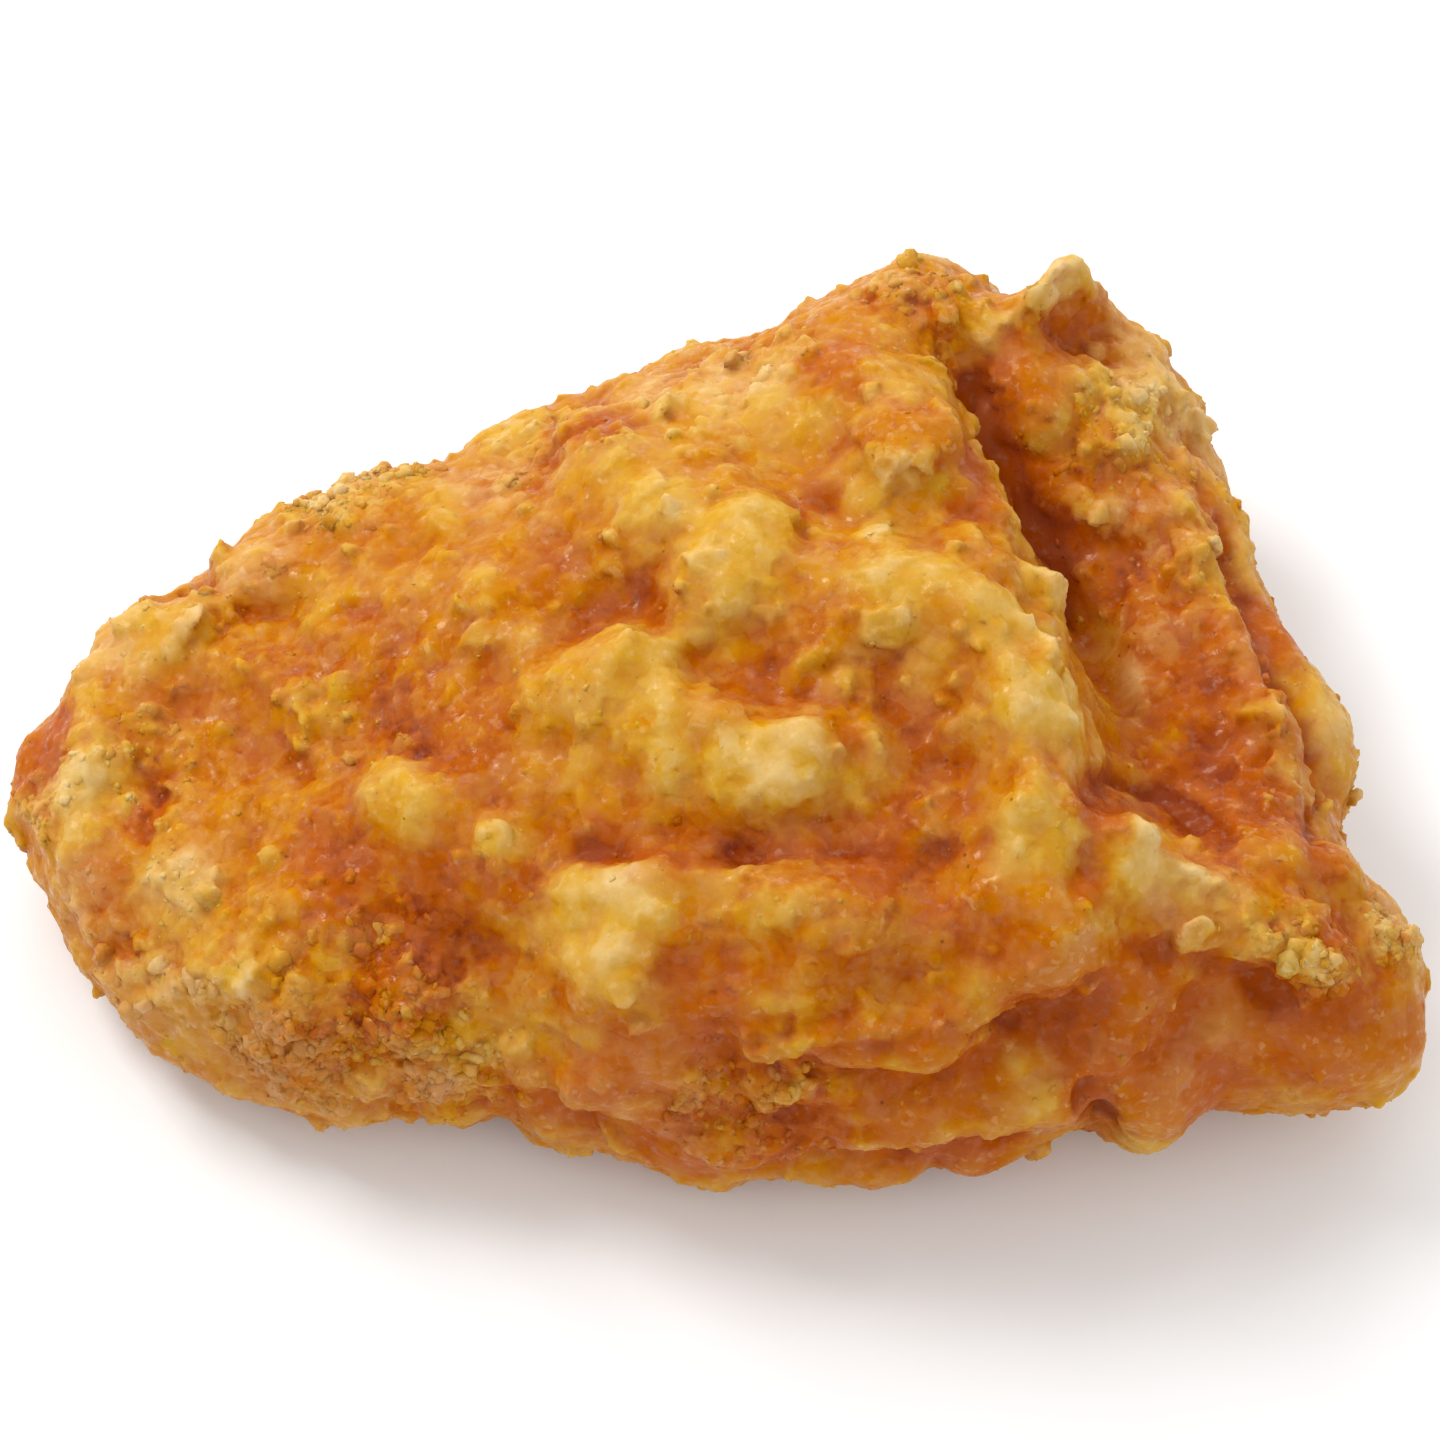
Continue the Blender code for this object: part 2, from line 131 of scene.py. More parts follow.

# What the photograph shows of the crust's tone, with painted shade and painted light that stand in for
# its shadows and lit faces: pixel across, pixel down, radius in millimetres, how golden from -1 for brown
# and painted shade to 1 for pale gold and painted light, and how red from 0 to 1, red also painting shade
PATCHES = {
    "hump": (920, 295, 5, -0.5, 0.2),
    "hump_side": (850, 312, 4, -0.4, 0.2),
    "hump_patch": (828, 365, 4.0, -0.7, 0.7),
    "horn_edge": (1068, 275, 1.6, 0.8, 0.0),
    "horn_fold": (1000, 322, 2.2, 0.4, 0.1),
    "horn_curl": (976, 342, 3.0, 0.7, 0.0),
    "horn_hollow": (1060, 340, 3.6, -0.4, 0.7),
    "horn_side": (1112, 305, 2.6, 0.0, 0.7),
    "horn_foot": (1150, 355, 3.5, 0.4, 0.1),
    "back_pale": (735, 400, 7, 1.0, 0.0),
    "back_block_foot": (920, 480, 4.5, 0.5, 0.0),
    "back_red": (592, 425, 4.0, -1.0, 0.4),
    "back_edge": (520, 425, 4, 0.5, 0.0),
    "back_edge_left": (400, 470, 5, 0.6, 0.0),
    "cleft_head": (990, 385, 3.6, -1.1, 0.8),
    "cleft_neck": (1005, 465, 3.4, -1.0, 0.8),
    "cleft_turn": (1040, 525, 3.6, -1.0, 0.7),
    "cleft_bend": (1082, 575, 3.8, -0.7, 0.6),
    "cleft_side": (1120, 600, 3.0, -0.5, 0.3),
    "cleft_low": (1108, 705, 3.6, 0.8, 0.0),
    "cleft_foot": (1112, 795, 3.2, -1.0, 0.3),
    "slope_head": (1120, 392, 4.5, 0.8, 0.0),
    "slope_edge": (1182, 420, 4.5, 0.8, 0.0),
    "slope_lump": (1110, 500, 3.5, 0.2, 0.1),
    "slope_middle": (1170, 550, 5, -0.4, 0.1),
    "slope_floor": (1165, 675, 5.5, -1.0, 0.3),
    "slope_foot": (1185, 800, 5, -0.8, 0.2),
    "slope_end": (1262, 862, 4.5, -0.8, 0.3),
    "slope_pale": (1270, 760, 3, 0.2, 0.0),
    "crack": (1250, 640, 4.5, -1.2, 0.8),
    "crack_low": (1290, 740, 3.0, -0.8, 0.7),
    "rim": (1290, 660, 2.2, -0.2, 0.9),
    "rim_low": (1345, 800, 3, 0.0, 0.4),
    "nose_top": (660, 495, 5, 0.5, 0.0),
    "nose": (717, 531, 5.5, 0.5, 0.0),
    "nose_right": (785, 520, 4, 0.3, 0.0),
    "nose_tip": (748, 615, 3.5, 0.5, 0.0),
    "nose_hollow": (632, 582, 3.0, 0.0, 0.1),
    "nose_foot": (715, 702, 3.4, -0.7, 0.3),
    "arch": (880, 585, 5, 0.4, 0.0),
    "arch_top": (955, 580, 4, 0.2, 0.0),
    "arch_turn": (1018, 625, 3.6, 0.9, 0.0),
    "arch_side": (1045, 700, 4.5, 0.4, 0.0),
    "arch_fall": (1045, 790, 4, -0.4, 0.0),
    "arch_foot": (1035, 855, 4, 0.7, 0.0),
    "arch_hollow": (905, 715, 4.5, 0.0, 0.1),
    "arch_hollow_side": (960, 750, 4, 0.5, 0.0),
    "middle_left": (665, 690, 5.0, 0.8, 0.0),
    "middle_foot": (600, 770, 3.6, 0.4, 0.0),
    "middle_block": (728, 765, 4, 0.8, 0.0),
    "middle_block_right": (786, 752, 3.8, 1.0, 0.0),
    "left_plain": (465, 745, 4.5, -0.7, 0.0),
    "left_plain_back": (490, 620, 4.5, -0.2, 0.0),
    "left_plain_side": (360, 650, 5, -0.7, 0.1),
    "left_crag": (339, 704, 3.2, 0.5, 0.0),
    "left_lump": (402, 790, 4, 0.2, 0.0),
    "left_oval": (510, 840, 2.8, 0.6, 0.0),
    "left_hollow": (330, 885, 4.5, -0.7, 0.4),
    "left_basin": (400, 885, 4.5, -0.6, 0.1),
    "front_basin": (452, 905, 4.5, -0.9, 0.1),
    "front_basin_low": (390, 1000, 4.2, -1.5, 0.5),
    "front_crumbs": (480, 1000, 4, 0.3, 0.0),
    "crease": (600, 850, 3, -0.7, 0.5),
    "crease_middle": (655, 862, 3, -0.8, 0.5),
    "crease_right": (775, 878, 3.4, -1.0, 0.3),
    "crease_hole": (880, 872, 3.8, -1.1, 0.4),
    "front_crag": (600, 920, 6.2, 1.0, 0.0),
    "front_crag_top": (628, 884, 3, 0.6, 0.0),
    "front_lump": (745, 905, 4.0, 0.6, 0.0),
    "front_plain": (1020, 920, 4.5, -1.1, 0.3),
    "front_plain_left": (860, 950, 5, -0.4, 0.1),
    "ridge_peak": (1142, 845, 2.8, 1.1, 0.0),
    "ridge_side": (1195, 930, 3.4, 0.6, 0.0),
    "ridge_left": (1110, 935, 3.5, 0.4, 0.1),
    "ridge_foot": (1086, 890, 1.8, -0.4, 1.0),
    "ridge_hollow": (1155, 965, 3.4, -0.4, 1.0),
    "ridge_hollow_right": (1240, 975, 3.4, 0.3, 0.7),
    "curl": (1318, 960, 2.4, 1.1, 0.0),
    "curl_hollow": (1290, 985, 3.2, -1.2, 1.0),
    "curl_side": (1336, 935, 2.8, -1.9, 0.9),
    "lobe": (1150, 1050, 6, -0.5, 0.9),
    "lobe_middle": (1200, 1040, 5, 0.5, 0.8),
    "lobe_end": (1365, 1045, 5.5, -1.2, 0.9),
    "lobe_tip": (1410, 1035, 4, -1.0, 0.7),
    "lobe_low": (1200, 1095, 5, -0.7, 0.9),
    "notch": (1110, 1100, 5, -2.0, 0.8),
    "ledge": (1030, 1085, 3.4, 0.6, 0.3),
    "ledge_end": (1050, 1022, 4.5, -0.8, 1.0),
    "ledge_shadow": (935, 1050, 4.5, -1.1, 0.8),
    "ledge_shadow_left": (752, 1072, 3.6, -0.5, 0.8),
    "ledge_left": (640, 1060, 5, -0.3, 1.0),
    "folds": (745, 1110, 5, 0.5, 0.8),
    "front_foot": (820, 1134, 4.5, -1.0, 1.0),
    "front_foot_left": (680, 1150, 5.5, -0.7, 1.0),
    "front_foot_right": (965, 1155, 5, -1.2, 1.0),
    "front_left": (540, 1100, 6, -0.4, 0.8),
    "tip_flake": (92, 785, 3.8, 1.1, 0.0),
    "tip_red": (28, 765, 4, -0.9, 0.9),
    "tip_notch": (147, 820, 1.8, -0.4, 1.0),
    "tip_ridge": (180, 640, 3.5, 0.6, 0.2),
    "tip_plain": (235, 740, 5, 0.1, 0.3),
    "tip_pale": (130, 630, 4, 0.5, 0.0),
    "tip_block": (185, 890, 5.5, 0.8, 0.0),
    "tip_low_red": (105, 880, 2.6, -0.3, 0.8),
    "tip_curve": (240, 990, 4.5, 0.7, 0.0),
    "tip_low": (290, 1050, 7, 0.2, 0.9),
    "tip_edge": (170, 1020, 4, 0.5, 0.0),
    "back_tip": (310, 540, 4, -0.2, 0.5),
    "back_tip_pale": (268, 575, 3.4, -0.4, 0.7),
    "back_tip_edge": (200, 570, 3.5, 0.5, 0.0),
    "ridge_back": (1100, 820, 3, -2.2, 0.5),
    "rim_foot": (1330, 855, 3.2, -1.7, 0.5),
    "left_plain_low": (410, 715, 4.5, -0.8, 0.0),
    "crack_foot": (1268, 822, 3.4, -0.8, 0.2),
    "cleft_edge": (972, 465, 2.6, -1.0, 0.8),
    "cleft_edge_low": (985, 510, 2.2, -0.8, 0.6),
    "middle_top": (690, 655, 3, 1.0, 0.0),
    "back_rim": (640, 400, 4, 0.5, 0.0),
    "back_rim_right": (790, 442, 5, 1.0, 0.0),
    "back_rim_side": (875, 500, 5, 1.1, 0.0),
    "back_rim_left": (450, 530, 5, 0.3, 0.0),
    "tip_front": (115, 930, 4, -0.3, 0.5),
    "tip_low_edge": (200, 1000, 4, 0.7, 0.5),
    "slope_top": (1050, 440, 3, 0.1, 0.3),
    "slope_red": (1080, 490, 2.6, -0.3, 0.5),
    "flap_shadow": (948, 440, 3.6, -1.2, 0.4),
    "arch_inner": (920, 645, 4.2, 0.7, 0.0),
    "front_left_bright": (535, 1050, 4, 1.0, 0.0),
    "left_shade": (450, 845, 3, -0.6, 0.1),
    "back_far_left": (320, 515, 5, 0.8, 0.0),
    "cleft_right": (1022, 385, 2.4, -1.0, 0.8),
    "crack_middle": (1270, 690, 3.6, -2.0, 1.0),
    "lobe_left": (1105, 1000, 3.6, -0.9, 0.8),
    "nose_foot_right": (790, 712, 3.2, -0.2, 0.1),
    "middle_left_edge": (618, 650, 2.6, -0.5, 0.1),
    "arch_hollow_low": (925, 805, 3, -0.6, 0.1),
    "ledge_hollow": (720, 1030, 5, -0.2, 1.0),
    "slope_dark": (1150, 492, 3.4, -0.7, 0.2),
    "hump_foot": (966, 360, 2, 0.6, 0.0),
    "rim_top": (1250, 545, 2.6, 0.6, 0.0),
    "rim_right": (1340, 745, 2.6, 0.5, 0.2),
    "middle_low": (668, 762, 3.4, 0.5, 0.0),
    "front_left_low": (260, 1070, 4, 0.8, 0.9),
    "front_left_middle": (340, 1100, 4, 1.0, 0.8),
    "arch_knob": (1036, 592, 3.0, 1.0, 0.0),
    "ledge_flakes": (760, 1049, 2.6, 0.6, 0.2),
    "flap_rim": (1050, 655, 2.8, 1.0, 0.0),
    "flap_rim_low": (1070, 710, 2.4, 0.9, 0.0),
    "cleft_lump": (1002, 520, 2.8, 0.3, 0.0),
    "block_hollow": (900, 440, 4.4, -0.9, 0.3),
    "block_sparkle": (880, 525, 3.0, 0.9, 0.0),
    "cleft_middle": (1058, 530, 3.0, -1.0, 0.7),
    "crack_head": (1272, 628, 3.6, -2.0, 1.0),
    "slope_shade": (1235, 745, 4.5, -0.8, 0.3),
    "slope_shade_top": (1045, 485, 2.8, -0.8, 0.7),
    "left_middle": (550, 740, 3.5, 0.5, 0.0),
    "back_left_shade": (520, 570, 5, -0.4, 0.0),
    "tip_edge_low": (205, 1035, 4, 1.0, 0.6),
    "front_wall_red": (770, 1155, 5, -0.8, 1.0),
    "front_wall_low": (870, 1174, 4, -0.5, 0.8),
    "front_wall_middle": (895, 1115, 5, -0.3, 1.0),
    "front_wall_right": (980, 1095, 4.5, -0.3, 1.0),
    "ledge_red": (1058, 985, 6, -0.4, 1.0),
    "ledge_foot": (1085, 1070, 3.5, -0.6, 1.0),
    "lobe_red": (1285, 1045, 6, -0.6, 0.8),
    "cleft_edge_middle": (976, 500, 3.0, -1.0, 0.5),
    "cleft_floor": (1090, 650, 4, 1.0, 0.0),
    "slope_floor_top": (1155, 620, 4, -0.7, 0.3),
    "slope_foot_right": (1222, 828, 3.6, -1.1, 0.4),
    "slope_edge_middle": (1182, 460, 3.4, 0.1, 0.2),
    "ridge_top": (1165, 882, 4, 1.1, 0.0),
    "left_low_shade": (330, 830, 3.4, -0.7, 0.2),
    "left_middle_shade": (490, 690, 3.4, 0.1, 0.0),
    "left_tan": (300, 600, 4, 0.7, 0.1),
    "crag_shade": (510, 884, 3, -1.4, 0.2),
    "crag_shade_right": (692, 888, 2.6, 0.1, 0.0),
    "crag_foot": (690, 968, 5, -0.8, 0.5),
    "crag_foot_left": (578, 1002, 3.6, -0.7, 0.2),
    "front_shade_low": (925, 985, 4, 0.5, 0.0),
    "tip_low_patch": (130, 1010, 4, 0.1, 0.6),
    "tip_side_red": (88, 880, 3, -0.3, 0.8),
    "cleft_red": (982, 428, 3.2, -1.1, 1.0),
    "back_edge_pale": (518, 452, 4, 0.9, 0.0),
    "horn_hollow_left": (1016, 350, 2.4, -0.8, 0.6),
    "front_basin_side": (425, 975, 3.4, -1.0, 0.5),
    "ledge_shadow_middle": (850, 1060, 3.6, -1.0, 0.8),
    "lobe_shade": (1335, 1045, 5.5, -2.0, 1.0),
    "nose_side": (832, 622, 3, -0.6, 0.2),
    "tip_shade": (270, 680, 3.4, -0.5, 0.2),
    "tip_shade_low": (200, 850, 3, -0.4, 0.2),
    "cleft_floor_low": (1112, 690, 4, 0.9, 0.0),
    "slope_floor_right": (1196, 700, 4, -0.6, 0.2),
    "middle_left_pale": (632, 625, 3, 0.6, 0.0),
    "arch_back": (905, 503, 3.6, 1.0, 0.0),
    "butt_head_pale": (1140, 425, 4, 0.6, 0.0),
    "front_left_pale": (262, 1035, 4, 0.9, 0.7),
    "wall_shade_left": (600, 1080, 4, -0.6, 0.9),
    "cleft_top": (982, 418, 3.6, -2.0, 1.0),
    "slope_shade_right": (1205, 512, 3, -0.6, 0.2),
    "ridge_peak_right": (1174, 842, 2.6, 0.9, 0.0),
    "ridge_foot_left": (1085, 960, 3, 0.6, 0.2),
    "ridge_foot_dark": (1125, 975, 3, -1.1, 1.0),
    "front_left_orange": (420, 1085, 5, 0.8, 0.9),
    "arch_side_low": (1030, 760, 3.4, -0.5, 0.1),
    "left_pale": (360, 925, 2.6, 0.4, 0.1),
    "ridge_middle_red": (1165, 925, 3, 0.2, 0.8),
    "back_rim_middle": (665, 435, 3, 0.8, 0.0),
    "block_foot_pale": (915, 500, 3.4, 1.1, 0.0),
    "horn_middle": (1050, 285, 2.4, 0.9, 0.0),
    "horn_side_red": (1100, 310, 2.4, -0.3, 0.9),
    "cleft_side_red": (1030, 415, 3, -0.7, 0.9),
    "hump_foot_pale": (972, 355, 1.8, 0.9, 0.0),
    "tip_back_pale": (170, 690, 3, 0.1, 0.7),
    "front_low_pale": (480, 1050, 4, 0.5, 0.1),
    "front_middle_pale": (640, 1000, 3.4, 0.4, 0.2),
    "nose_foot_left": (700, 665, 2.6, 0.6, 0.0),
    "middle_side_pale": (836, 790, 3.0, 0.7, 0.0),
    "middle_right_pale": (845, 665, 3.0, 0.5, 0.0),
    "back_red_left": (400, 528, 4, -0.4, 0.5),
    "back_edge_red": (640, 442, 3, 0.0, 0.1),
    "tip_top": (46, 738, 4, -1.7, 0.6),
    "arch_edge": (995, 565, 3, -0.3, 0.3),
    "arch_edge_low": (942, 612, 2.6, -0.3, 0.4),
    "slope_low": (1262, 800, 5, -1.2, 0.4),
    "front_slope": (945, 935, 3.4, -0.6, 0.2),
    "front_slope_left": (845, 890, 3, -0.7, 0.2),
    "middle_block_side": (836, 730, 3, -0.6, 0.3),
    "left_low_red": (340, 915, 3, -0.5, 0.6),
    "front_left_red": (330, 1075, 3, 0.0, 0.7),
    "tip_low_red_right": (252, 1060, 2.6, 0.0, 0.7),
    "front_shade": (810, 955, 4.5, -0.5, 0.2),
    "front_shade_right": (985, 930, 4.0, -0.4, 0.3),
}

# Where the crust is covered with crumbs: pixel across, pixel down, radius in millimetres,
# share from 0 to 1
GRANULAR = {
    "tip": (150, 760, 14, 0.35),
    "tip_edge": (50, 800, 6, 0.6),
    "tip_back": (250, 620, 11, 0.35),
    "tip_front": (180, 960, 13, 0.45),
    "left": (330, 740, 10, 0.3),
    "left_front": (360, 1010, 12, 0.6),
    "back_edge_left": (350, 490, 8, 0.9),
    "back_edge": (560, 430, 8, 0.5),
    "back_middle": (750, 370, 8, 0.4),
    "back_hump": (930, 290, 7, 0.7),
    "butt_slope": (1130, 420, 9, 0.6),
    "butt_slope_middle": (1200, 560, 7, 0.4),
    "butt_slope_low": (1280, 800, 6, 0.35),
    "front_wall": (750, 1110, 9, 0.7),
    "front_left": (300, 1060, 10, 1.0),
    "front_left_low": (430, 1085, 9, 1.0),
    "curl": (1325, 960, 5, 1.0),
    "curl_edge": (1390, 930, 4, 1.0),
    "ridge": (1200, 900, 6, 0.4),
    "ridge_end": (1280, 935, 5, 0.7),
}

# Where the crust is smooth
SMOOTH_SKIN = {
    "lobe": (1230, 1050, 8, 1.0),
    "lobe_end": (1380, 1030, 6, 0.7),
    "butt_rim": (1290, 650, 3.5, 1.0),
    "butt_rim_below": (1345, 790, 3, 1.0),
    "butt_rim_above": (1262, 600, 2.6, 1.0),
    "butt_rim_middle": (1318, 720, 3, 1.0),
    "nose": (700, 540, 5, 0.4),
    "flap": (1040, 720, 6, 0.4),
}

# Where the crust is pale and floury, mostly along the outline, where the paleness is also painted sheen
# of the grazing edges
FLOURY_AND_RIM_SHEEN = {
    "tip_edge": (50, 800, 5, 0.6),
    "tip_back": (110, 640, 5, 0.7),
    "tip_front": (80, 900, 5, 0.6),
    "tip_block": (185, 880, 4, 0.8),
    "tip_low": (130, 990, 5, 0.6),
    "tip_low_edge": (240, 1075, 5, 0.3),
    "left_front": (350, 1090, 6, 0.1),
    "back_tip": (250, 560, 4, 0.8),
    "back_left": (350, 485, 5, 0.6),
    "back_left_edge": (480, 430, 5, 0.9),
    "back_edge": (650, 390, 4, 0.8),
    "back_middle": (740, 380, 6, 0.8),
    "hump": (880, 290, 4, 0.4),
    "horn": (1050, 285, 2.6, 0.8),
    "butt_top": (1150, 360, 6, 0.9),
    "butt_edge": (1190, 440, 6, 0.8),
    "butt_middle": (1150, 520, 5, 0.6),
    "butt_rim": (1240, 560, 4, 0.6),
    "butt_slope": (1180, 660, 6, 0.7),
    "butt_low": (1290, 800, 6, 0.6),
    "rim": (1345, 730, 4, 0.7),
    "ridge": (1190, 880, 5, 0.6),
    "curl": (1385, 920, 5, 1.0),
    "lobe": (1200, 1070, 6, 0.4),
    "front_wall": (640, 1100, 6, 0.4),
}


class Line(NamedTuple):
    """A crack or a lip of the crust, in millimetres, drawn through pixels of the photograph"""

    half_width: float
    rise: float
    pixels: tuple
    push: tuple = (0.0, 0.0, 0.0)


LINES = {
    "flap_lip": Line(
        2.4,
        0.4,
        (
            (945, 385), (948, 450), (958, 505), (990, 585), (1028, 640),
            (1055, 700), (1070, 760), (1066, 830), (1045, 880),
        ),
        push=(0.7, 0.0, 0.2),
    ),
    "arch_crest": Line(3.4, 0.35, ((838, 592), (870, 572), (920, 562), (975, 590), (1022, 630))),
    "middle_crest": Line(2.2, 0.45, ((705, 758), (745, 752), (780, 732), (816, 726), (826, 765))),
    "small_crest": Line(1.3, 0.7, ((788, 673), (815, 660), (852, 649))),
    "nose_left": Line(2.0, -0.4, ((622, 560), (650, 600), (700, 650), (725, 692))),
    "nose_right": Line(2.0, -0.3, ((745, 695), (790, 650), (825, 605))),
    "crease": Line(2.0, -0.7, ((556, 842), (600, 856), (678, 856), (757, 858), (836, 852), (900, 862))),
    "crease_fork": Line(2.0, -0.7, ((880, 840), (910, 860), (950, 850), (1000, 835))),
    "butt_crack": Line(
        1.2,
        -1.2,
        (
            (1190, 440), (1222, 545), (1240, 597), (1262, 655),
            (1288, 706), (1314, 760), (1320, 810), (1306, 860),
        ),
    ),
    "butt_slope_rim": Line(
        2.0,
        0.35,
        ((1168, 450), (1200, 530), (1222, 590), (1243, 655), (1268, 708), (1290, 760), (1296, 815)),
    ),
    "ledge_lip": Line(
        1.3,
        0.4,
        (
            (690, 1048), (738, 1047), (800, 1046), (830, 1036),
            (886, 1032), (986, 1016), (1010, 1000), (1080, 994),
        ),
        push=(0.0, -0.2, 0.0),
    ),
    "ledge_undercut": Line(
        1.2,
        -0.7,
        (
            (705, 1068), (755, 1071), (790, 1066), (819, 1051),
            (886, 1047), (986, 1032), (1006, 1018), (1080, 1012),
        ),
    ),
    "second_lip": Line(
        1.2,
        0.3,
        ((690, 1078), (748, 1092), (800, 1090), (870, 1082)),
        push=(0.0, -0.2, 0.0),
    ),
    "second_undercut": Line(1.1, -0.4, ((700, 1098), (748, 1110), (800, 1112), (870, 1104))),
    "lower_crack": Line(1.8, -0.7, ((775, 1132), (815, 1134), (860, 1137), (910, 1130))),
    "notch": Line(2.3, -2.2, ((1092, 1075), (1096, 1100), (1100, 1122))),
    "ridge_foot": Line(1.8, -1.0, ((1122, 950), (1160, 952), (1200, 958), (1240, 975), (1285, 1000))),
    "ridge_back": Line(2.0, -1.0, ((1082, 790), (1118, 778), (1162, 790), (1198, 818), (1235, 850))),
    "horn_crest": Line(
        0.9,
        0.8,
        ((985, 358), (979, 345), (998, 330), (1029, 302), (1052, 280), (1072, 260)),
    ),
    "ledge_hollow": Line(1.6, -0.8, ((705, 1024), (755, 1028), (800, 1030))),
    "flake_crack": Line(0.9, -0.8, ((812, 1050), (816, 1075), (818, 1100))),
    "tip_notch": Line(1.4, -1.0, ((160, 770), (150, 810), (140, 850))),
    "tip_ridge": Line(2.0, 0.8, ((140, 680), (170, 645), (210, 615))),
}

# Separate knobs of batter: pixel across, pixel down, radius and rise in millimetres
KNOBS = {
    "cleft_lump": (1000, 522, 3.0, 1.4),
    "cleft_lump_below": (1036, 588, 3.0, 1.3),
    "butt_lump": (1095, 512, 3.0, 1.3),
    "butt_lump_above": (1042, 424, 3.0, 1.3),
    "butt_lump_side": (1088, 378, 3.4, 1.0),
    "curl": (1310, 962, 2.2, 1.4),
    "horn_hollow": (1062, 318, 3.4, -1.3),
    "horn_tip": (1071, 262, 1.6, 0.6),
    "horn_side": (1048, 270, 1.5, -0.6),
    "horn_side_right": (1094, 272, 1.7, -0.6),
    "butt_lump_top": (1122, 352, 2.6, 0.8),
    "butt_lump_edge": (1168, 388, 2.6, 0.8),
    "butt_lump_middle": (1126, 440, 2.8, 0.9),
    "butt_lump_right": (1182, 465, 2.6, 0.7),
    "butt_lump_low": (1150, 528, 2.8, 0.7),
    "butt_lump_low_right": (1200, 540, 2.4, 0.7),
    "butt_lump_foot": (1150, 600, 2.8, 0.6),
    "oval": (508, 836, 3.4, 0.6),
    "left_lump": (408, 792, 4.6, 0.6),
    "left_crag": (339, 704, 3.8, 0.5),
    "tip_flake": (86, 780, 3.2, 0.5),
    "tip_block": (184, 888, 5.5, 0.6),
    "tan_lump": (408, 586, 3.2, 0.9),
    "tan_lump_right": (482, 586, 3.2, 0.9),
    "tan_lump_left": (345, 592, 2.8, 0.7),
    "tan_lump_low": (445, 640, 2.6, 0.6),
    "tan_lump_above": (438, 528, 2.6, 0.6),
    "front_lump": (757, 906, 4.2, 0.4),
    "front_crag": (585, 905, 5.6, 0.5),
    "block": (905, 395, 5.4, 0.3),
    "nose": (780, 520, 6.0, 0.5),
}


class ChickenCrust(PropertyGroup):
    """Sizes, counts and colours of the crust"""

    first_grain: FloatProperty(
        name="First grain", description="Size of the faces before crumbs are fused",
        default=0.55 * MM, unit="LENGTH", precision=5,
    )
    grain: FloatProperty(
        name="Grain", description="Size of the crust's own faces",
        default=0.36 * MM, unit="LENGTH", precision=5,
    )
    easing: IntProperty(
        name="Easing", description="Passes that ease the solid's facets",
        default=14, min=0,
    )
    softening: IntProperty(
        name="Softening", description="Passes that soften fused crumbs",
        default=1, min=0,
    )
    seed: IntProperty(name="Seed", description="Chooses the places of crumbs and flakes", default=3)
    crumbs: IntProperty(name="Crumbs", description="Number of fused crumbs", default=2600, min=0)
    blocks: IntProperty(name="Blocks", description="Number of fused lumps of batter", default=160, min=0)
    flakes: IntProperty(name="Flakes", description="Number of fused flakes", default=700, min=0)
    crumb_size: FloatProperty(
        name="Crumb size", description="Radius of a middling crumb",
        default=0.85 * MM, unit="LENGTH", precision=5,
    )
    most_faces: IntProperty(
        name="Most faces", description="Triangles in the finished crust",
        default=196000,
    )
    # Pale is partly painted light on the crags that stand clear
    pale: FloatVectorProperty(
        name="Pale", description="Crags that stand clear", subtype="COLOR", size=4,
        default=(0.67, 0.455, 0.17, 1),
    )
    gold: FloatVectorProperty(
        name="Gold", description="Tops of the smooth lumps", subtype="COLOR", size=4,
        default=(0.59, 0.318, 0.035, 1),
    )
    orange: FloatVectorProperty(
        name="Orange", description="The crust's main tone", subtype="COLOR", size=4,
        default=(0.51, 0.191, 0.012, 1),
    )
    # Brown is partly painted shade in the hollows and on the walls
    brown: FloatVectorProperty(
        name="Brown", description="Hollows and walls", subtype="COLOR", size=4,
        default=(0.40, 0.087, 0.006, 1),
    )
    # Dark is painted shade at the bottoms of the cracks
    dark: FloatVectorProperty(
        name="Dark", description="Bottoms of the cracks", subtype="COLOR", size=4,
        default=(0.20, 0.022, 0.003, 1),
    )
    # Flour is also the painted sheen along the outline
    flour_and_sheen: FloatVectorProperty(
        name="Flour", description="Dry granules", subtype="COLOR", size=4, default=(0.74, 0.50, 0.26, 1)
    )
    # These pale dots on the crests are painted glints
    painted_glint: FloatVectorProperty(
        name="Dust", description="Fine dry flour on the crags", subtype="COLOR", size=4,
        default=(0.84, 0.60, 0.33, 1),
    )
    burnt: FloatVectorProperty(
        name="Burnt", description="Rare dark specks", subtype="COLOR", size=4,
        default=(0.13, 0.035, 0.008, 1),
    )
    # Red is also painted shade on walls, in cracks and in hollows
    red: FloatVectorProperty(
        name="Red", description="Spiced and oily patches", subtype="COLOR", size=4,
        default=(0.44, 0.092, 0.010, 1),
    )


class ChickenCrumbs(PropertyGroup):
    """Sizes, counts and shades of the loose crumbs"""

    seed: IntProperty(name="Seed", description="Chooses the places of the crumbs", default=11)
    grains: IntProperty(name="Crumbs", description="Number of crumbs", default=1300, min=0)
    smallest: FloatProperty(
        name="Smallest", description="Radius of the smallest crumb",
        default=0.40 * MM, unit="LENGTH", precision=5,
    )
    largest: FloatProperty(
        name="Largest", description="Radius of the largest crumb",
        default=1.3 * MM, unit="LENGTH", precision=5,
    )
    stray: FloatProperty(
        name="Stray", description="Share that lies outside the granular places",
        default=0.0,
    )
    darkest: FloatProperty(name="Darkest", description="Shade of the darkest crumb", default=-0.2)
    palest: FloatProperty(name="Palest", description="Shade of the palest crumb", default=0.55)


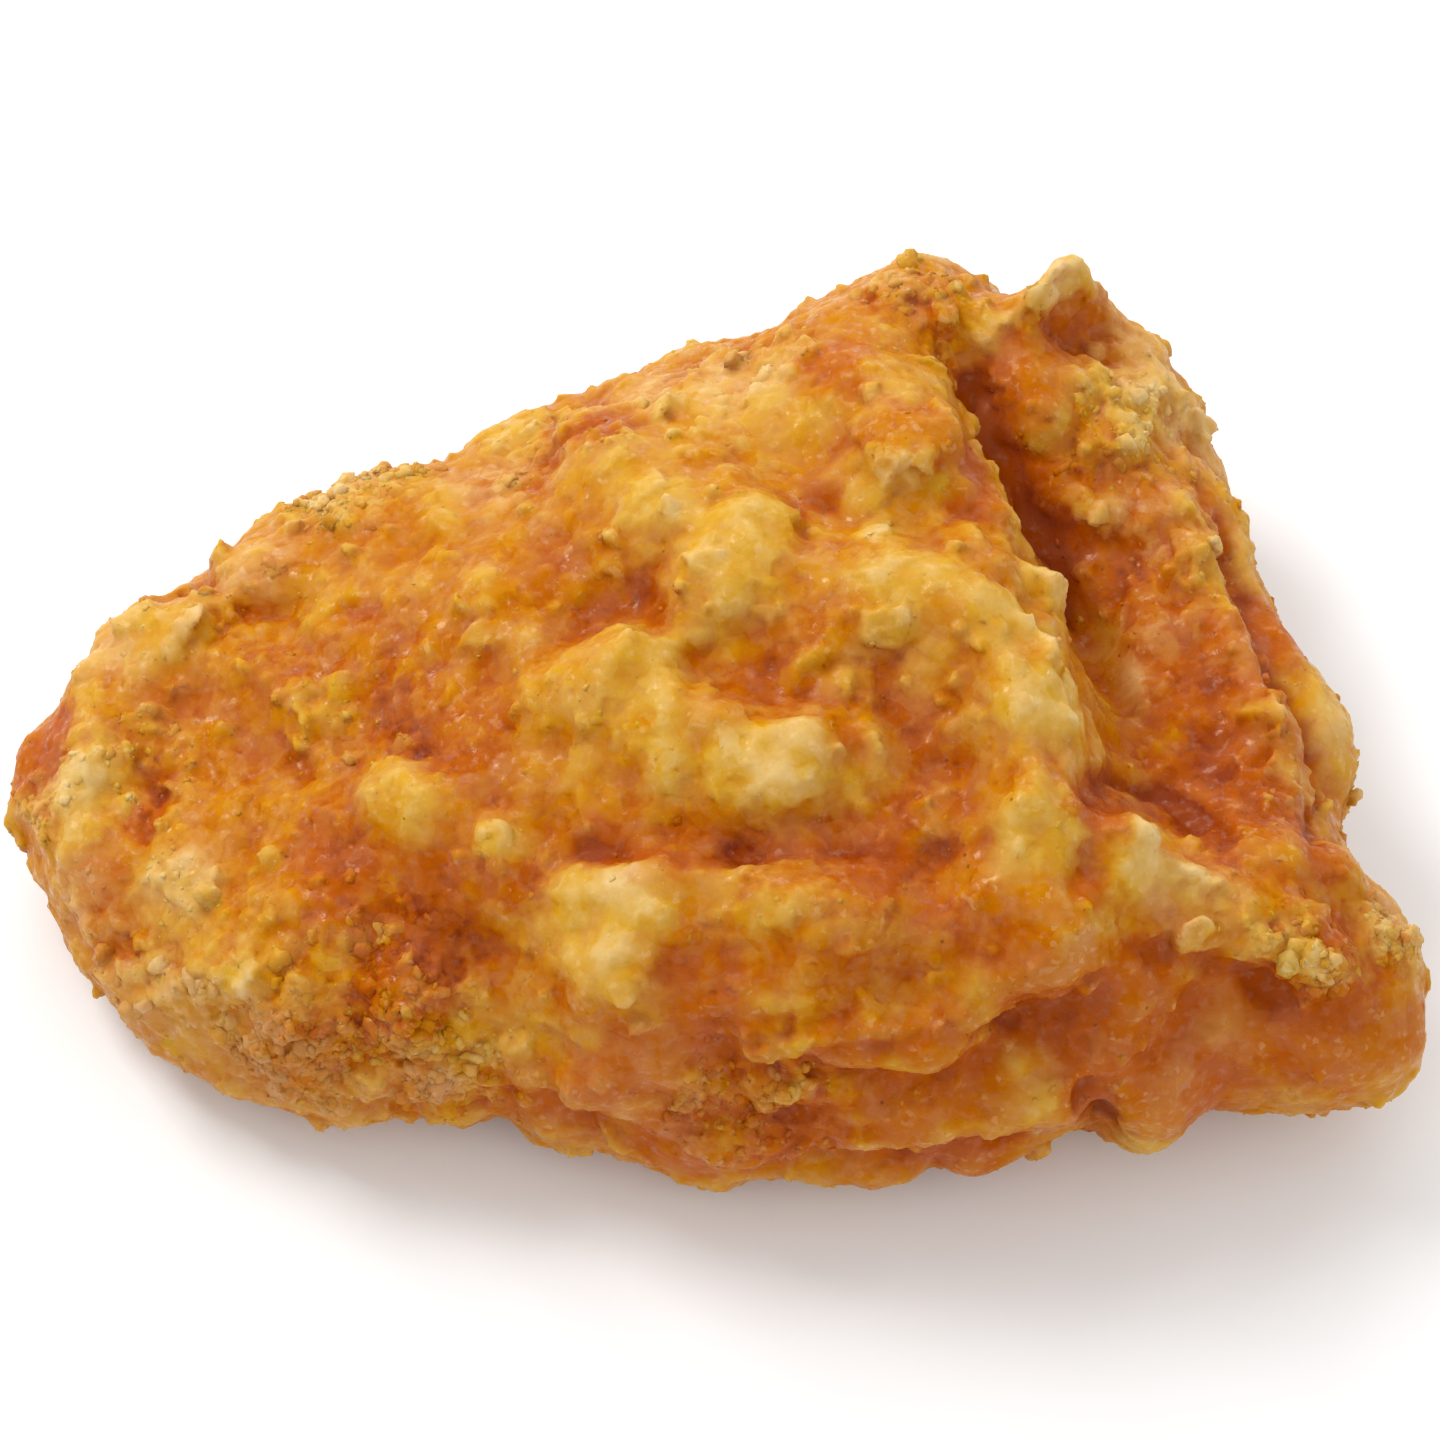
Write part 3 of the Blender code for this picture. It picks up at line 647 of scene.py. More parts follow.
class ChickenGrains(PropertyGroup):
    """Sizes, counts and shades of the finest grains"""

    seed: IntProperty(name="Seed", description="Chooses the places of the grains", default=7)
    grains: IntProperty(name="Grains", description="Number of grains", default=5000, min=0)
    smallest: FloatProperty(
        name="Smallest", description="Radius of the smallest grain",
        default=0.22 * MM, unit="LENGTH", precision=5,
    )
    largest: FloatProperty(
        name="Largest", description="Radius of the largest grain",
        default=0.55 * MM, unit="LENGTH", precision=5,
    )
    stray: FloatProperty(
        name="Stray", description="Share that lies outside the granular places",
        default=0.04,
    )
    darkest: FloatProperty(name="Darkest", description="Shade of the darkest grain", default=-0.05)
    palest: FloatProperty(name="Palest", description="Shade of the palest grain", default=0.5)


class ChickenStage(PropertyGroup):
    """The camera, the floor and the lights"""

    elevation: FloatProperty(
        name="Elevation", description="How far above level the camera looks from",
        default=math.radians(58.0), subtype="ANGLE",
    )
    lens: FloatProperty(name="Lens", description="Focal length", default=120.0, subtype="DISTANCE_CAMERA")
    distance: FloatProperty(
        name="Distance", description="From the camera to what it looks at",
        default=438.2 * MM, unit="LENGTH",
    )
    target: FloatVectorProperty(
        name="Target", description="What the camera looks at", subtype="XYZ", unit="LENGTH",
        default=(1.25 * MM, -2.25 * MM, 18.0 * MM),
    )
    floor_colour: FloatVectorProperty(
        name="Floor", description="Colour of the floor", subtype="COLOR", size=4,
        default=(0.93, 0.93, 0.93, 1),
    )
    key_power: FloatProperty(name="Key", description="Power of the main light", default=3.6, unit="POWER")
    fill_power: FloatProperty(
        name="Fill", description="Power of the weak light",
        default=0.8, unit="POWER",
    )
    back_power: FloatProperty(
        name="Back", description="Power of the light behind",
        default=1.4, unit="POWER",
    )
    surround: FloatProperty(
        name="Surround", description="Strength of the room's light",
        default=0.76, min=0.0,
    )


def deselect_all():
    for thing in bpy.context.scene.objects:
        thing.select_set(False)


def make_active(piece):
    deselect_all()
    piece.select_set(True)
    bpy.context.view_layer.objects.active = piece


def apply_modifier(piece, name, kind, **settings):
    """One modifier, with its settings, added to the piece and applied."""
    make_active(piece)
    modifier = piece.modifiers.new(name, kind)
    for setting, value in settings.items():
        setattr(modifier, setting, value)
    bpy.ops.object.modifier_apply(modifier=modifier.name)


def copy_of_node(node, name):
    """A copy of a CAD node with its loose triangles merged into one closed surface."""
    solid = frame["nodes"][node]
    piece = bpy.data.objects.new(name, solid.data.copy())
    bpy.context.scene.collection.objects.link(piece)
    make_active(piece)
    bpy.ops.object.mode_set(mode="EDIT")
    bpy.ops.mesh.select_all(action="SELECT")
    bpy.ops.mesh.remove_doubles(threshold=0.001 * MM)
    bpy.ops.object.mode_set(mode="OBJECT")
    piece.data.materials.clear()
    return piece


def read_points(mesh):
    """The mesh's points, in millimetres."""
    points = np.empty(len(mesh.vertices) * 3)
    mesh.vertices.foreach_get("co", points)
    return points.reshape(-1, 3) / MM


def read_normals(mesh):
    normals = np.empty(len(mesh.vertices) * 3)
    mesh.vertices.foreach_get("normal", normals)
    return normals.reshape(-1, 3)


def write_points(mesh, points):
    mesh.vertices.foreach_set("co", (points * MM).ravel())
    mesh.update()


def read_attribute(mesh, name):
    values = np.empty(len(mesh.vertices), np.float32)
    mesh.attributes[name].data.foreach_get("value", values)
    return values.astype(float)


def write_attribute(mesh, name, values):
    attribute = mesh.attributes.get(name) or mesh.attributes.new(name, "FLOAT", "POINT")
    attribute.data.foreach_set("value", values.astype(np.float32))


def smooth_step(low, high, value):
    share = np.clip((value - low) / (high - low), 0.0, 1.0)
    return share * share * (3.0 - 2.0 * share)


def camera_place(stage):
    back = Vector((0.0, -math.cos(stage.elevation), math.sin(stage.elevation)))
    return Vector(stage.target) + back * stage.distance


def surface_seen_at(surface, across, down):
    """The surface's point that the photograph shows at a pixel, or the nearest one, in millimetres."""
    stage = bpy.context.scene.chicken_stage
    side = FILM_WIDTH / stage.lens
    in_camera = Vector(((across / PHOTO_SIDE - 0.5) * side, (0.5 - down / PHOTO_SIDE) * side, -1.0))
    ray = Euler((math.pi / 2 - stage.elevation, 0.0, 0.0)).to_matrix() @ in_camera
    hit = surface.ray_cast(camera_place(stage), ray.normalized())[0]
    if hit is None:
        hit = surface.find_nearest(camera_place(stage) + ray.normalized() * stage.distance)[0]
    return np.array(hit) / MM


def round_patch(points, centre, radius, core, drift):
    """The points that a round patch with wandering edges reaches, and how much of it each has."""
    edge = 1.35
    reach = radius * (edge - drift.min())
    near = np.flatnonzero(np.abs(points[:, 0] - centre[0]) <= reach)
    for axis in (1, 2):
        near = near[np.abs(points[near, axis] - centre[axis]) <= reach]
    distance = np.linalg.norm(points[near] - centre, axis=1) / radius + drift[near]
    return near, 1.0 - smooth_step(core, edge, distance)


def tone_shares(points, surface, drift):
    """How golden and how red the patches make each point, with the patches' painted shade and painted
    light.
    """
    gold, red = np.zeros(len(points)), np.zeros(len(points))
    for across, down, radius, golden_and_painted_light, reddened_and_painted_shade in PATCHES.values():
        near, share = round_patch(points, surface_seen_at(surface, across, down), radius, 0.5, drift)
        gold[near] += golden_and_painted_light * share
        red[near] = np.maximum(red[near], reddened_and_painted_shade * share)
    return np.clip(gold, -1.1, 1.1), red


def patch_share(points, patches, surface, drift):
    """How much of a set of patches each point has, from 0 to 1."""
    most_share = np.zeros(len(points))
    for across, down, radius, most in patches.values():
        near, share = round_patch(points, surface_seen_at(surface, across, down), radius, 0.35, drift)
        most_share[near] = np.maximum(most_share[near], most * share)
    return most_share


def noise_at(points, size, offset=0.0):
    shift = Vector((offset, offset * 0.7, -offset))
    return np.array([noise.noise(Vector(point) / size + shift) for point in points])


def noise_vectors(points, size, offset=0.0):
    return np.stack([noise_at(points, size, offset + shift) for shift in (0.0, 17.0, 31.0)], axis=1)


def plate_centres(points, apart, sway):
    """The middle of the plate that each point is on, in millimetres."""
    return np.array([noise.voronoi(Vector(point) / apart)[1][0] for point in points + sway]) * apart


def plates_at(points, apart, sway):
    """Broken plates of uneven height and tilt, about -1 to 1, with a crease where two of them meet."""
    heights = np.empty(len(points))
    for index, point in enumerate(points + sway):
        place = Vector(point) / apart
        distances, centres = noise.voronoi(place)
        own = centres[0]
        tilt = Vector((noise.noise(own * 3.3), noise.noise(own * 4.1), noise.noise(own * 5.3)))
        crease = min((distances[1] - distances[0]) / 0.35, 1.0)
        height = 1.1 * noise.noise(own * 2.3) + 1.6 * tilt.dot(place - own)
        heights[index] = height - 0.5 * (1.0 - crease) ** 2
    return heights


def lumps_at(points, apart, wander=0.45):
    """Rounded lumps of uneven height, up to 1 high, that meet in creases down to -1."""
    heights = np.empty(len(points))
    for index, point in enumerate(points):
        place = Vector(point) / apart
        sway = noise.noise(place * 1.7) * wander
        distances, centres = noise.voronoi(place + Vector((sway, -sway, sway)))
        nearest = distances[0]
        tall = 0.55 + 0.9 * noise.noise(centres[0] * 3.1)
        heights[index] = max(tall - 2.6 * nearest * nearest, -1.0)
    return heights


def line_share(points, route, half_width):
    """How near each point is to a line, from 0 to 1, with the line's ends fading out."""
    share = np.zeros(len(points))
    lengths = np.linalg.norm(route[1:] - route[:-1], axis=1)
    whole = lengths.sum()
    passed = 0.0
    for start, end, length in zip(route[:-1], route[1:], lengths):
        low = np.minimum(start, end) - half_width
        high = np.maximum(start, end) + half_width
        near = np.flatnonzero(np.all((points > low) & (points < high), axis=1))
        along = np.clip((points[near] - start) @ (end - start) / max(length * length, 1e-9), 0.0, 1.0)
        foot = start + along[:, None] * (end - start)
        across = np.linalg.norm(points[near] - foot, axis=1) / half_width
        place = (passed + along * length) / whole
        fade = smooth_step(-0.02, 0.12, place) * smooth_step(1.02, 0.88, place)
        share[near] = np.maximum(share[near], fade * np.clip(1.0 - across * across, 0.0, 1.0) ** 1.3)
        passed += length
    return share


def line_shares(points, surface):
    """How much of a lip and how much of a crack each point has, from 0 to 1."""
    swayed = points + 0.6 * noise_vectors(points, 1.8, 2.0)
    lip, crack = np.zeros(len(points)), np.zeros(len(points))
    for line in LINES.values():
        route = np.array([surface_seen_at(surface, across, down) for across, down in line.pixels])
        share = line_share(swayed, route, 0.9 * line.half_width) * min(abs(line.rise), 1.0)
        if line.rise > 0:
            lip = np.maximum(lip, share)
        else:
            crack = np.maximum(crack, share)
    return lip, crack


def sculpt(points, normals, surface):
    """Cracks, lips and knobs pressed into the points or raised out of them, with broken edges."""
    moved = points.copy()
    swayed = points + 1.0 * noise_vectors(points, 2.6, 2.0)
    uneven = 0.85 + 0.9 * noise_at(points, 3.0, 4.0)
    for line in LINES.values():
        route = np.array([surface_seen_at(surface, across, down) for across, down in line.pixels])
        share = (uneven * line_share(swayed, route, line.half_width))[:, None]
        moved += share * (line.rise * normals + np.array(line.push))
    for across, down, radius, rise in KNOBS.values():
        distance = np.linalg.norm(swayed - surface_seen_at(surface, across, down), axis=1) / radius
        moved += normals * (rise * uneven * np.clip(1.0 - distance * distance, 0.0, 1.0))[:, None]
    return moved


def eased(points, edges, passes):
    """The points after many passes of moving each to the middle of its neighbours."""
    first, second = edges[:, 0], edges[:, 1]
    neighbours = np.bincount(first, minlength=len(points)) + np.bincount(second, minlength=len(points))
    places = points.copy()
    for _ in range(passes):
        for axis in range(3):
            column = places[:, axis]
            total = np.bincount(first, column[second], len(points))
            total += np.bincount(second, column[first], len(points))
            places[:, axis] = total / neighbours
    return places


def relief_attributes(mesh):
    """How far each point stands out of its surroundings, in millimetres, near by and further off."""
    points, normals = read_points(mesh), read_normals(mesh)
    edges = np.empty(len(mesh.edges) * 2, np.int32)
    mesh.edges.foreach_get("vertices", edges)
    edges = edges.reshape(-1, 2)
    near = eased(points, edges, NEAR_PASSES)
    far = eased(near, edges, FAR_PASSES)
    write_attribute(mesh, "crag", np.einsum("ij,ij->i", points - near, normals))
    write_attribute(mesh, "swell", np.einsum("ij,ij->i", near - far, normals))


def taken_shape(piece):
    mesh = piece.data
    bpy.data.objects.remove(piece)
    return mesh


def crumb_shape(seed, cuts):
    """An uneven crumb about two units across."""
    deselect_all()
    bpy.ops.mesh.primitive_ico_sphere_add(subdivisions=cuts, radius=1.0)
    crumb = bpy.context.object
    bpy.ops.object.mode_set(mode="EDIT")
    bpy.ops.mesh.select_all(action="SELECT")
    bpy.ops.transform.vertex_random(offset=0.42 - 0.08 * cuts, uniform=0.6, normal=0.4, seed=seed)
    bpy.ops.object.mode_set(mode="OBJECT")
    return taken_shape(crumb)


def block_shape(seed):
    """An uneven six-sided lump about two units across."""
    deselect_all()
    bpy.ops.mesh.primitive_cube_add(size=1.5)
    block = bpy.context.object
    bpy.ops.object.mode_set(mode="EDIT")
    bpy.ops.mesh.select_all(action="SELECT")
    bpy.ops.mesh.subdivide(number_cuts=1, smoothness=0.3)
    bpy.ops.transform.vertex_random(offset=0.22, uniform=0.7, normal=0.3, seed=seed)
    bpy.ops.object.mode_set(mode="OBJECT")
    return taken_shape(block)


def flake_shape(seed, corners):
    """An uneven plate about two units across."""
    deselect_all()
    bpy.ops.mesh.primitive_circle_add(vertices=corners, radius=1.0, fill_type="TRIFAN")
    flake = bpy.context.object
    bpy.ops.object.mode_set(mode="EDIT")
    bpy.ops.mesh.select_all(action="SELECT")
    bpy.ops.transform.vertex_random(offset=0.38, uniform=0.8, normal=0.0, seed=seed)
    bpy.ops.object.mode_set(mode="OBJECT")
    apply_modifier(flake, "thicken", "SOLIDIFY", thickness=0.5, offset=0.0)
    return taken_shape(flake)


class Scatter:
    """Small copies of a few shapes, each at a point of a surface drawn at random."""

    def __init__(self, mesh, seed):
        self.random = random.Random(seed)
        self.points, self.normals = read_points(mesh), read_normals(mesh)
        self.whole = bmesh.new()
        self.owners, self.lifts = [], []

    def draw(self, count, weights):
        """Numbers of the surface's points, drawn by weight."""
        return self.random.choices(range(len(self.points)), weights=weights.tolist(), k=count)

    def add(self, shapes, index, size, flat, height, tilt):
        """One copy on one point: its radius, flatness, height over the surface and greatest tilt."""
        shape = self.random.choice(shapes).copy()
        normal = Vector(self.normals[index])
        lean = Euler([self.random.uniform(-tilt, tilt) for _ in range(3)]).to_matrix()
        turn = Matrix.Rotation(self.random.uniform(0.0, math.tau), 3, "Z")
        stretch = Matrix.Diagonal((size, size * self.random.uniform(0.5, 1.0), size * flat))
        matrix = normal.to_track_quat("Z", "Y").to_matrix() @ lean @ turn @ stretch
        centre = Vector(self.points[index]) + normal * height
        shape.transform(Matrix.Translation(centre) @ matrix.to_4x4())
        self.lifts += [(vertex.co - centre).dot(normal) / size for vertex in shape.vertices]
        self.owners += [index] * len(shape.vertices)
        self.whole.from_mesh(shape)
        bpy.data.meshes.remove(shape)

    def build(self, name):
        """All the copies as one object."""
        mesh = bpy.data.meshes.new(name)
        self.whole.to_mesh(mesh)
        self.whole.free()
        piece = bpy.data.objects.new(name, mesh)
        bpy.context.scene.collection.objects.link(piece)
        points = np.empty(len(mesh.vertices) * 3)
        mesh.vertices.foreach_get("co", points)
        write_points(mesh, inside_box(points.reshape(-1, 3)))
        return piece


def zone_shares(points, normals, surface):
    """How granular, smooth, floury, cracked, golden and reddened each point is; golden also holds painted
    light and painted shade, reddened also painted shade.
    """
    drift = 0.35 * noise_at(points, 4.0) + 0.25 * noise_at(points, 1.8, 5.0)
    granular = patch_share(points, GRANULAR, surface, drift)
    unseen = smooth_step(0.35, -0.15, normals[:, 2]) * smooth_step(-22.0, -8.0, points[:, 1])
    below = smooth_step(-0.2, -0.7, normals[:, 2])
    hidden = np.maximum(unseen, below)
    lip, crack = line_shares(points, surface)
    centres = plate_centres(points, 1.6, 0.6 * noise_vectors(points, 1.2, 9.0))
    golden_and_painted_light, reddened_and_painted_shade = tone_shares(points, surface, drift)
    plate_golden_and_painted_light, plate_reddened_and_painted_shade = tone_shares(centres, surface, drift)
    golden_and_painted_light = 0.5 * golden_and_painted_light + 0.5 * plate_golden_and_painted_light + 0.25 * noise_at(centres, 1.1, 14.0)
    # Lips a little lighter, cracks darker and, in the returned shares, redder: painted light on the lips
    # and painted shade in the cracks
    golden_and_painted_light += 0.12 * lip - 0.7 * crack + hidden * 0.9 * noise_at(points, 8.0, 27.0)
    reddened_and_painted_shade = 0.4 * reddened_and_painted_shade + 0.6 * plate_reddened_and_painted_shade
    reddened_and_painted_shade = np.maximum(reddened_and_painted_shade, np.clip(hidden * 1.6 * noise_at(centres, 6.0, 35.0), 0.0, 0.7))
    # Steep walls redder and darker: partly painted shade of walls turned from the light
    steep = smooth_step(0.55, 0.05, normals[:, 2])
    reddened_and_painted_shade = np.maximum(reddened_and_painted_shade, steep * (0.38 + 0.5 * noise_at(centres, 4.0, 41.0)))
    return {
        "granular": np.maximum(granular, 0.8 * hidden),
        "smooth_skin": patch_share(points, SMOOTH_SKIN, surface, drift),
        "floury_and_rim_sheen": patch_share(points, FLOURY_AND_RIM_SHEEN, surface, drift),
        "crack": crack,
        "lip": lip,
        "golden_and_painted_light": np.clip(golden_and_painted_light, -1.2, 1.1),
        "reddened_and_painted_shade": np.maximum(reddened_and_painted_shade, 0.6 * crack),
    }


def inside_box(points, margin=BOX_MARGIN):
    """The points, with those outside the CAD solid's box drawn back to within a margin of it."""
    low, high = (np.array(corner) / MM for corner in CAD_BOX)
    inner = np.clip(points, low, high)
    places = inner + margin * np.tanh((points - inner) / margin)
    places[:, 2] = np.maximum(places[:, 2], 0.0)
    return places


def keep_top_shell(piece):
    """Deletes every part of the mesh that isn't joined to its highest point."""
    make_active(piece)
    bpy.ops.object.mode_set(mode="EDIT")
    bpy.ops.mesh.select_all(action="DESELECT")
    bpy.ops.object.mode_set(mode="OBJECT")
    highest = int(np.argmax(read_points(piece.data)[:, 2]))
    piece.data.vertices[highest].select = True
    bpy.ops.object.mode_set(mode="EDIT")
    bpy.ops.mesh.select_mode(type="VERT")
    bpy.ops.mesh.select_linked()
    bpy.ops.mesh.select_all(action="INVERT")
    bpy.ops.mesh.delete(type="VERT")
    bpy.ops.object.mode_set(mode="OBJECT")


class CHICKEN_OT_crust(Operator):
    """Model the crust over the CAD solid: lumps, cracks and lips, with crumbs and flakes fused to it"""

    bl_idname = "chicken.crust"
    bl_label = "Crust"

    def execute(self, context):
        settings = context.scene.chicken_crust
        piece = copy_of_node(NODE, "crust")
        apply_modifier(piece, "even_out", "REMESH", mode="VOXEL", voxel_size=settings.first_grain)
        apply_modifier(piece, "ease", "SMOOTH", factor=0.5, iterations=settings.easing)
        mesh = piece.data
        surface = BVHTree.FromPolygons(
            [vertex.co for vertex in mesh.vertices], [polygon.vertices for polygon in mesh.polygons]
        )
        points, normals = read_points(mesh), read_normals(mesh)
        zones = zone_shares(points, normals, surface)
        smooth, granular = zones["smooth_skin"], zones["granular"]
        calm = np.maximum(smooth, 0.3 * zones["golden_and_painted_light"].clip(0.0, 1.0))
        rough = 0.85 + 0.9 * noise_at(points, 9.0, 8.0)
        sway = 0.8 * noise_vectors(points, 1.9, 6.0)
        rise = LUMPS.rise * lumps_at(points, LUMPS.apart) * (1.0 - 0.6 * smooth) * rough
        plates = PLATES.rise * plates_at(points, PLATES.apart, sway)
        rise += plates * (0.5 + 0.7 * granular) * (1.0 - 0.6 * calm) * rough
        points = sculpt(points, normals, surface)
        points += normals * rise[:, None]
        write_points(mesh, points)
        self.fuse_crumbs(piece, settings, zones)
        mesh = piece.data
        points, normals = read_points(mesh), read_normals(mesh)
        zones = zone_shares(points, normals, surface)
        smooth, granular = zones["smooth_skin"], zones["granular"]
        calm = np.maximum(smooth, 0.3 * zones["golden_and_painted_light"].clip(0.0, 1.0))
        sway = 0.5 * noise_vectors(points, 1.3, 6.0)
        plates = SMALL_PLATES.rise * plates_at(points, SMALL_PLATES.apart, sway)
        rise = plates * (0.7 + 0.5 * granular) * (1.0 - 0.5 * calm)
        pimples = PIMPLES.rise * lumps_at(points, PIMPLES.apart)
        rise += pimples * (0.15 + 0.85 * granular) * (1.0 - 0.8 * smooth)
        rise += GRIT.rise * noise_at(points, GRIT.apart, 3.0)
        write_points(mesh, inside_box(points + normals * rise[:, None]))
        for name, values in zones.items():
            write_attribute(mesh, name, values)
        triangles = 2 * len(mesh.polygons)
        if triangles > settings.most_faces:
            apply_modifier(piece, "thin", "DECIMATE", ratio=settings.most_faces / triangles)
            write_points(piece.data, inside_box(read_points(piece.data)))
        relief_attributes(piece.data)
        piece.data.shade_smooth()
        piece.data.materials.append(crust_material())
        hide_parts(NODE)
        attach(piece, "root")
        return {"FINISHED"}

    def fuse_crumbs(self, piece, settings, zones):
        """Crumbs, blocks and flakes of batter, fused with the crust into one closed surface."""
        scatter = Scatter(piece.data, settings.seed)
        pick = scatter.random
        heights, granular = scatter.points[:, 2], zones["granular"]
        uneven = np.clip(0.6 + 1.6 * noise_at(scatter.points, 6.0, 12.0), 0.05, 1.3)
        top = CAD_BOX[1][2] / MM
        high = (heights > 1.2) & (heights < top - 1.0)
        clear = (1.0 - zones["crack"]) * (1.0 - 0.8 * zones["lip"])
        clear = clear * smooth_step(-0.6, 0.0, scatter.normals[:, 2])
        open_share = (1.0 - SMOOTH_THINS * zones["smooth_skin"]) * high * clear
        loose = (0.03 + granular * granular) * open_share * uneven
        crumbs = [crumb_shape(settings.seed + number, 1) for number in range(SHAPES)]
        for index in scatter.draw(settings.crumbs, loose):
            size = (0.55 + 1.15 * pick.random() ** 2.0) * settings.crumb_size / MM
            flat = pick.uniform(0.6, 1.0)
            scatter.add(crumbs, index, size, flat, pick.uniform(-0.35, 0.25) * size, 0.5)
        blocks = [block_shape(settings.seed + number) for number in range(SHAPES)]
        for index in scatter.draw(settings.blocks, (0.10 + zones["golden_and_painted_light"].clip(0.0, 1.0)) * open_share):
            size = (1.6 + 1.4 * pick.random()) * settings.crumb_size / MM
            flat = pick.uniform(0.35, 0.55)
            scatter.add(blocks, index, size, flat, pick.uniform(-0.34, -0.2) * size, 0.15)
        flakes = [flake_shape(settings.seed + number, FLAKE_CORNERS) for number in range(FLAKE_SHAPES)]
        for index in scatter.draw(settings.flakes, loose):
            size = (0.9 + 1.6 * pick.random() ** 2.0) * settings.crumb_size / MM
            scatter.add(flakes, index, size, 0.8, pick.uniform(-0.1, 0.1) * size, 0.25)
        crumbs_piece = scatter.build("fused_crumbs")
        make_active(piece)
        crumbs_piece.select_set(True)
        bpy.ops.object.join()
        apply_modifier(piece, "fuse", "REMESH", mode="VOXEL", voxel_size=settings.grain)
        keep_top_shell(piece)
        apply_modifier(piece, "soften", "SMOOTH", factor=0.5, iterations=settings.softening)


def scatter_loose(name, settings, cuts, gathering, painted_lift_shade):
    """Loose grains of one range of sizes over the crust, thickest where it is granular, as one object."""
    crust = bpy.data.objects["crust"].data
    scatter = Scatter(crust, settings.seed)
    tones = {tone: read_attribute(crust, tone) for tone in TONES}
    pick = scatter.random
    uneven = np.clip(0.6 + 1.2 * noise_at(scatter.points, 5.0, 22.0), 0.1, 1.2)
    open_air = (scatter.points[:, 2] > 0.8) * smooth_step(-0.8, 0.1, scatter.normals[:, 2])
    weights = settings.stray + tones["granular"] ** gathering
    weights *= 1.0 - SMOOTH_THINS * tones["smooth_skin"]
    weights *= open_air * uneven
    shapes = [crumb_shape(settings.seed + number, cuts) for number in range(SHAPES)]
    spread = settings.largest - settings.smallest
    shades = []
    for index in scatter.draw(settings.grains, weights):
        size = (settings.smallest + spread * pick.random() ** 2.0) / MM
        flat = pick.uniform(0.5, 0.9)
        scatter.add(shapes, index, size, flat, pick.uniform(-0.8, -0.45) * flat * size, 0.4)
        shades.append(pick.uniform(settings.darkest, settings.palest))
    owners, lifts = np.array(scatter.owners), np.array(scatter.lifts)
    piece = scatter.build(name)
    for tone in TONES:
        write_attribute(piece.data, tone, tones[tone][owners])
    shade = np.repeat(shades, len(owners) // len(shades))
    # Each crumb takes the crust's relief tone and a random tone of its own, and is paler on top and
    # darker at its foot: painted light and painted shade
    write_attribute(piece.data, "crag", 0.6 * tones["crag"][owners] + shade + painted_lift_shade * lifts)
    piece.data.shade_smooth()
    piece.data.materials.append(crust_material())
    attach(piece, "root")


class CHICKEN_OT_crumbs(Operator):
    """Heap loose crumbs of batter where the crust is most granular"""

    bl_idname = "chicken.crumbs"
    bl_label = "Crumbs"

    def execute(self, context):
        scatter_loose("crumbs", context.scene.chicken_crumbs, cuts=2, gathering=3.0, painted_lift_shade=0.15)
        return {"FINISHED"}


class CHICKEN_OT_grains(Operator):
    """Scatter the finest grains of batter over the crust, thickest where it is granular"""

    bl_idname = "chicken.grains"
    bl_label = "Grains"

    def execute(self, context):
        scatter_loose("grains", context.scene.chicken_grains, cuts=1, gathering=2.0, painted_lift_shade=0.05)
        return {"FINISHED"}


class Nodes:
    """Short calls for building a material's node tree."""

    def __init__(self, material):
        self.tree = material.node_tree

    def add(self, kind, inputs=(), **settings):
        node = self.tree.nodes.new(kind)
        for setting, value in settings.items():
            setattr(node, setting, value)
        for socket, value in dict(inputs).items():
            if isinstance(value, bpy.types.NodeSocket):
                self.tree.links.new(value, node.inputs[socket])
            else:
                node.inputs[socket].default_value = value
        return node

    def attribute(self, name):
        return self.add("ShaderNodeAttribute", attribute_name=name).outputs["Fac"]

    def math(self, operation, first, second):
        return self.add("ShaderNodeMath", {0: first, 1: second}, operation=operation).outputs[0]

    def weigh(self, value, weight, start):
        """The start with the value's share added to it."""
        inputs = {0: value, 1: weight, 2: start}
        return self.add("ShaderNodeMath", inputs, operation="MULTIPLY_ADD").outputs[0]

    def cells(self, place, scale):
        """Three random numbers for each cell of a pattern, as Red, Green and Blue."""
        inputs = {"Vector": place, "Scale": scale, "Randomness": 1.0}
        colour = self.add("ShaderNodeTexVoronoi", inputs).outputs["Color"]
        return self.add("ShaderNodeSeparateColor", {"Color": colour}).outputs

    def noise(self, place, scale, detail=2.0, roughness=0.5):
        inputs = {"Vector": place, "Scale": scale, "Detail": detail, "Roughness": roughness}
        return self.add("ShaderNodeTexNoise", inputs).outputs["Fac"]

    def span(self, value, low, high, to_low=0.0, to_high=1.0):
        """The value's place between low and high, eased, as a number between two others."""
        inputs = {"Value": value, "From Min": low, "From Max": high, "To Min": to_low, "To Max": to_high}
        return self.add("ShaderNodeMapRange", inputs, interpolation_type="SMOOTHSTEP").outputs["Result"]

    def mix(self, share, first, second):
        node = self.add("ShaderNodeMix", data_type="RGBA")
        for socket, value in ((node.inputs[0], share), (node.inputs[6], first), (node.inputs[7], second)):
            if isinstance(value, bpy.types.NodeSocket):
                self.tree.links.new(value, socket)
            else:
                socket.default_value = value
        return node.outputs[2]


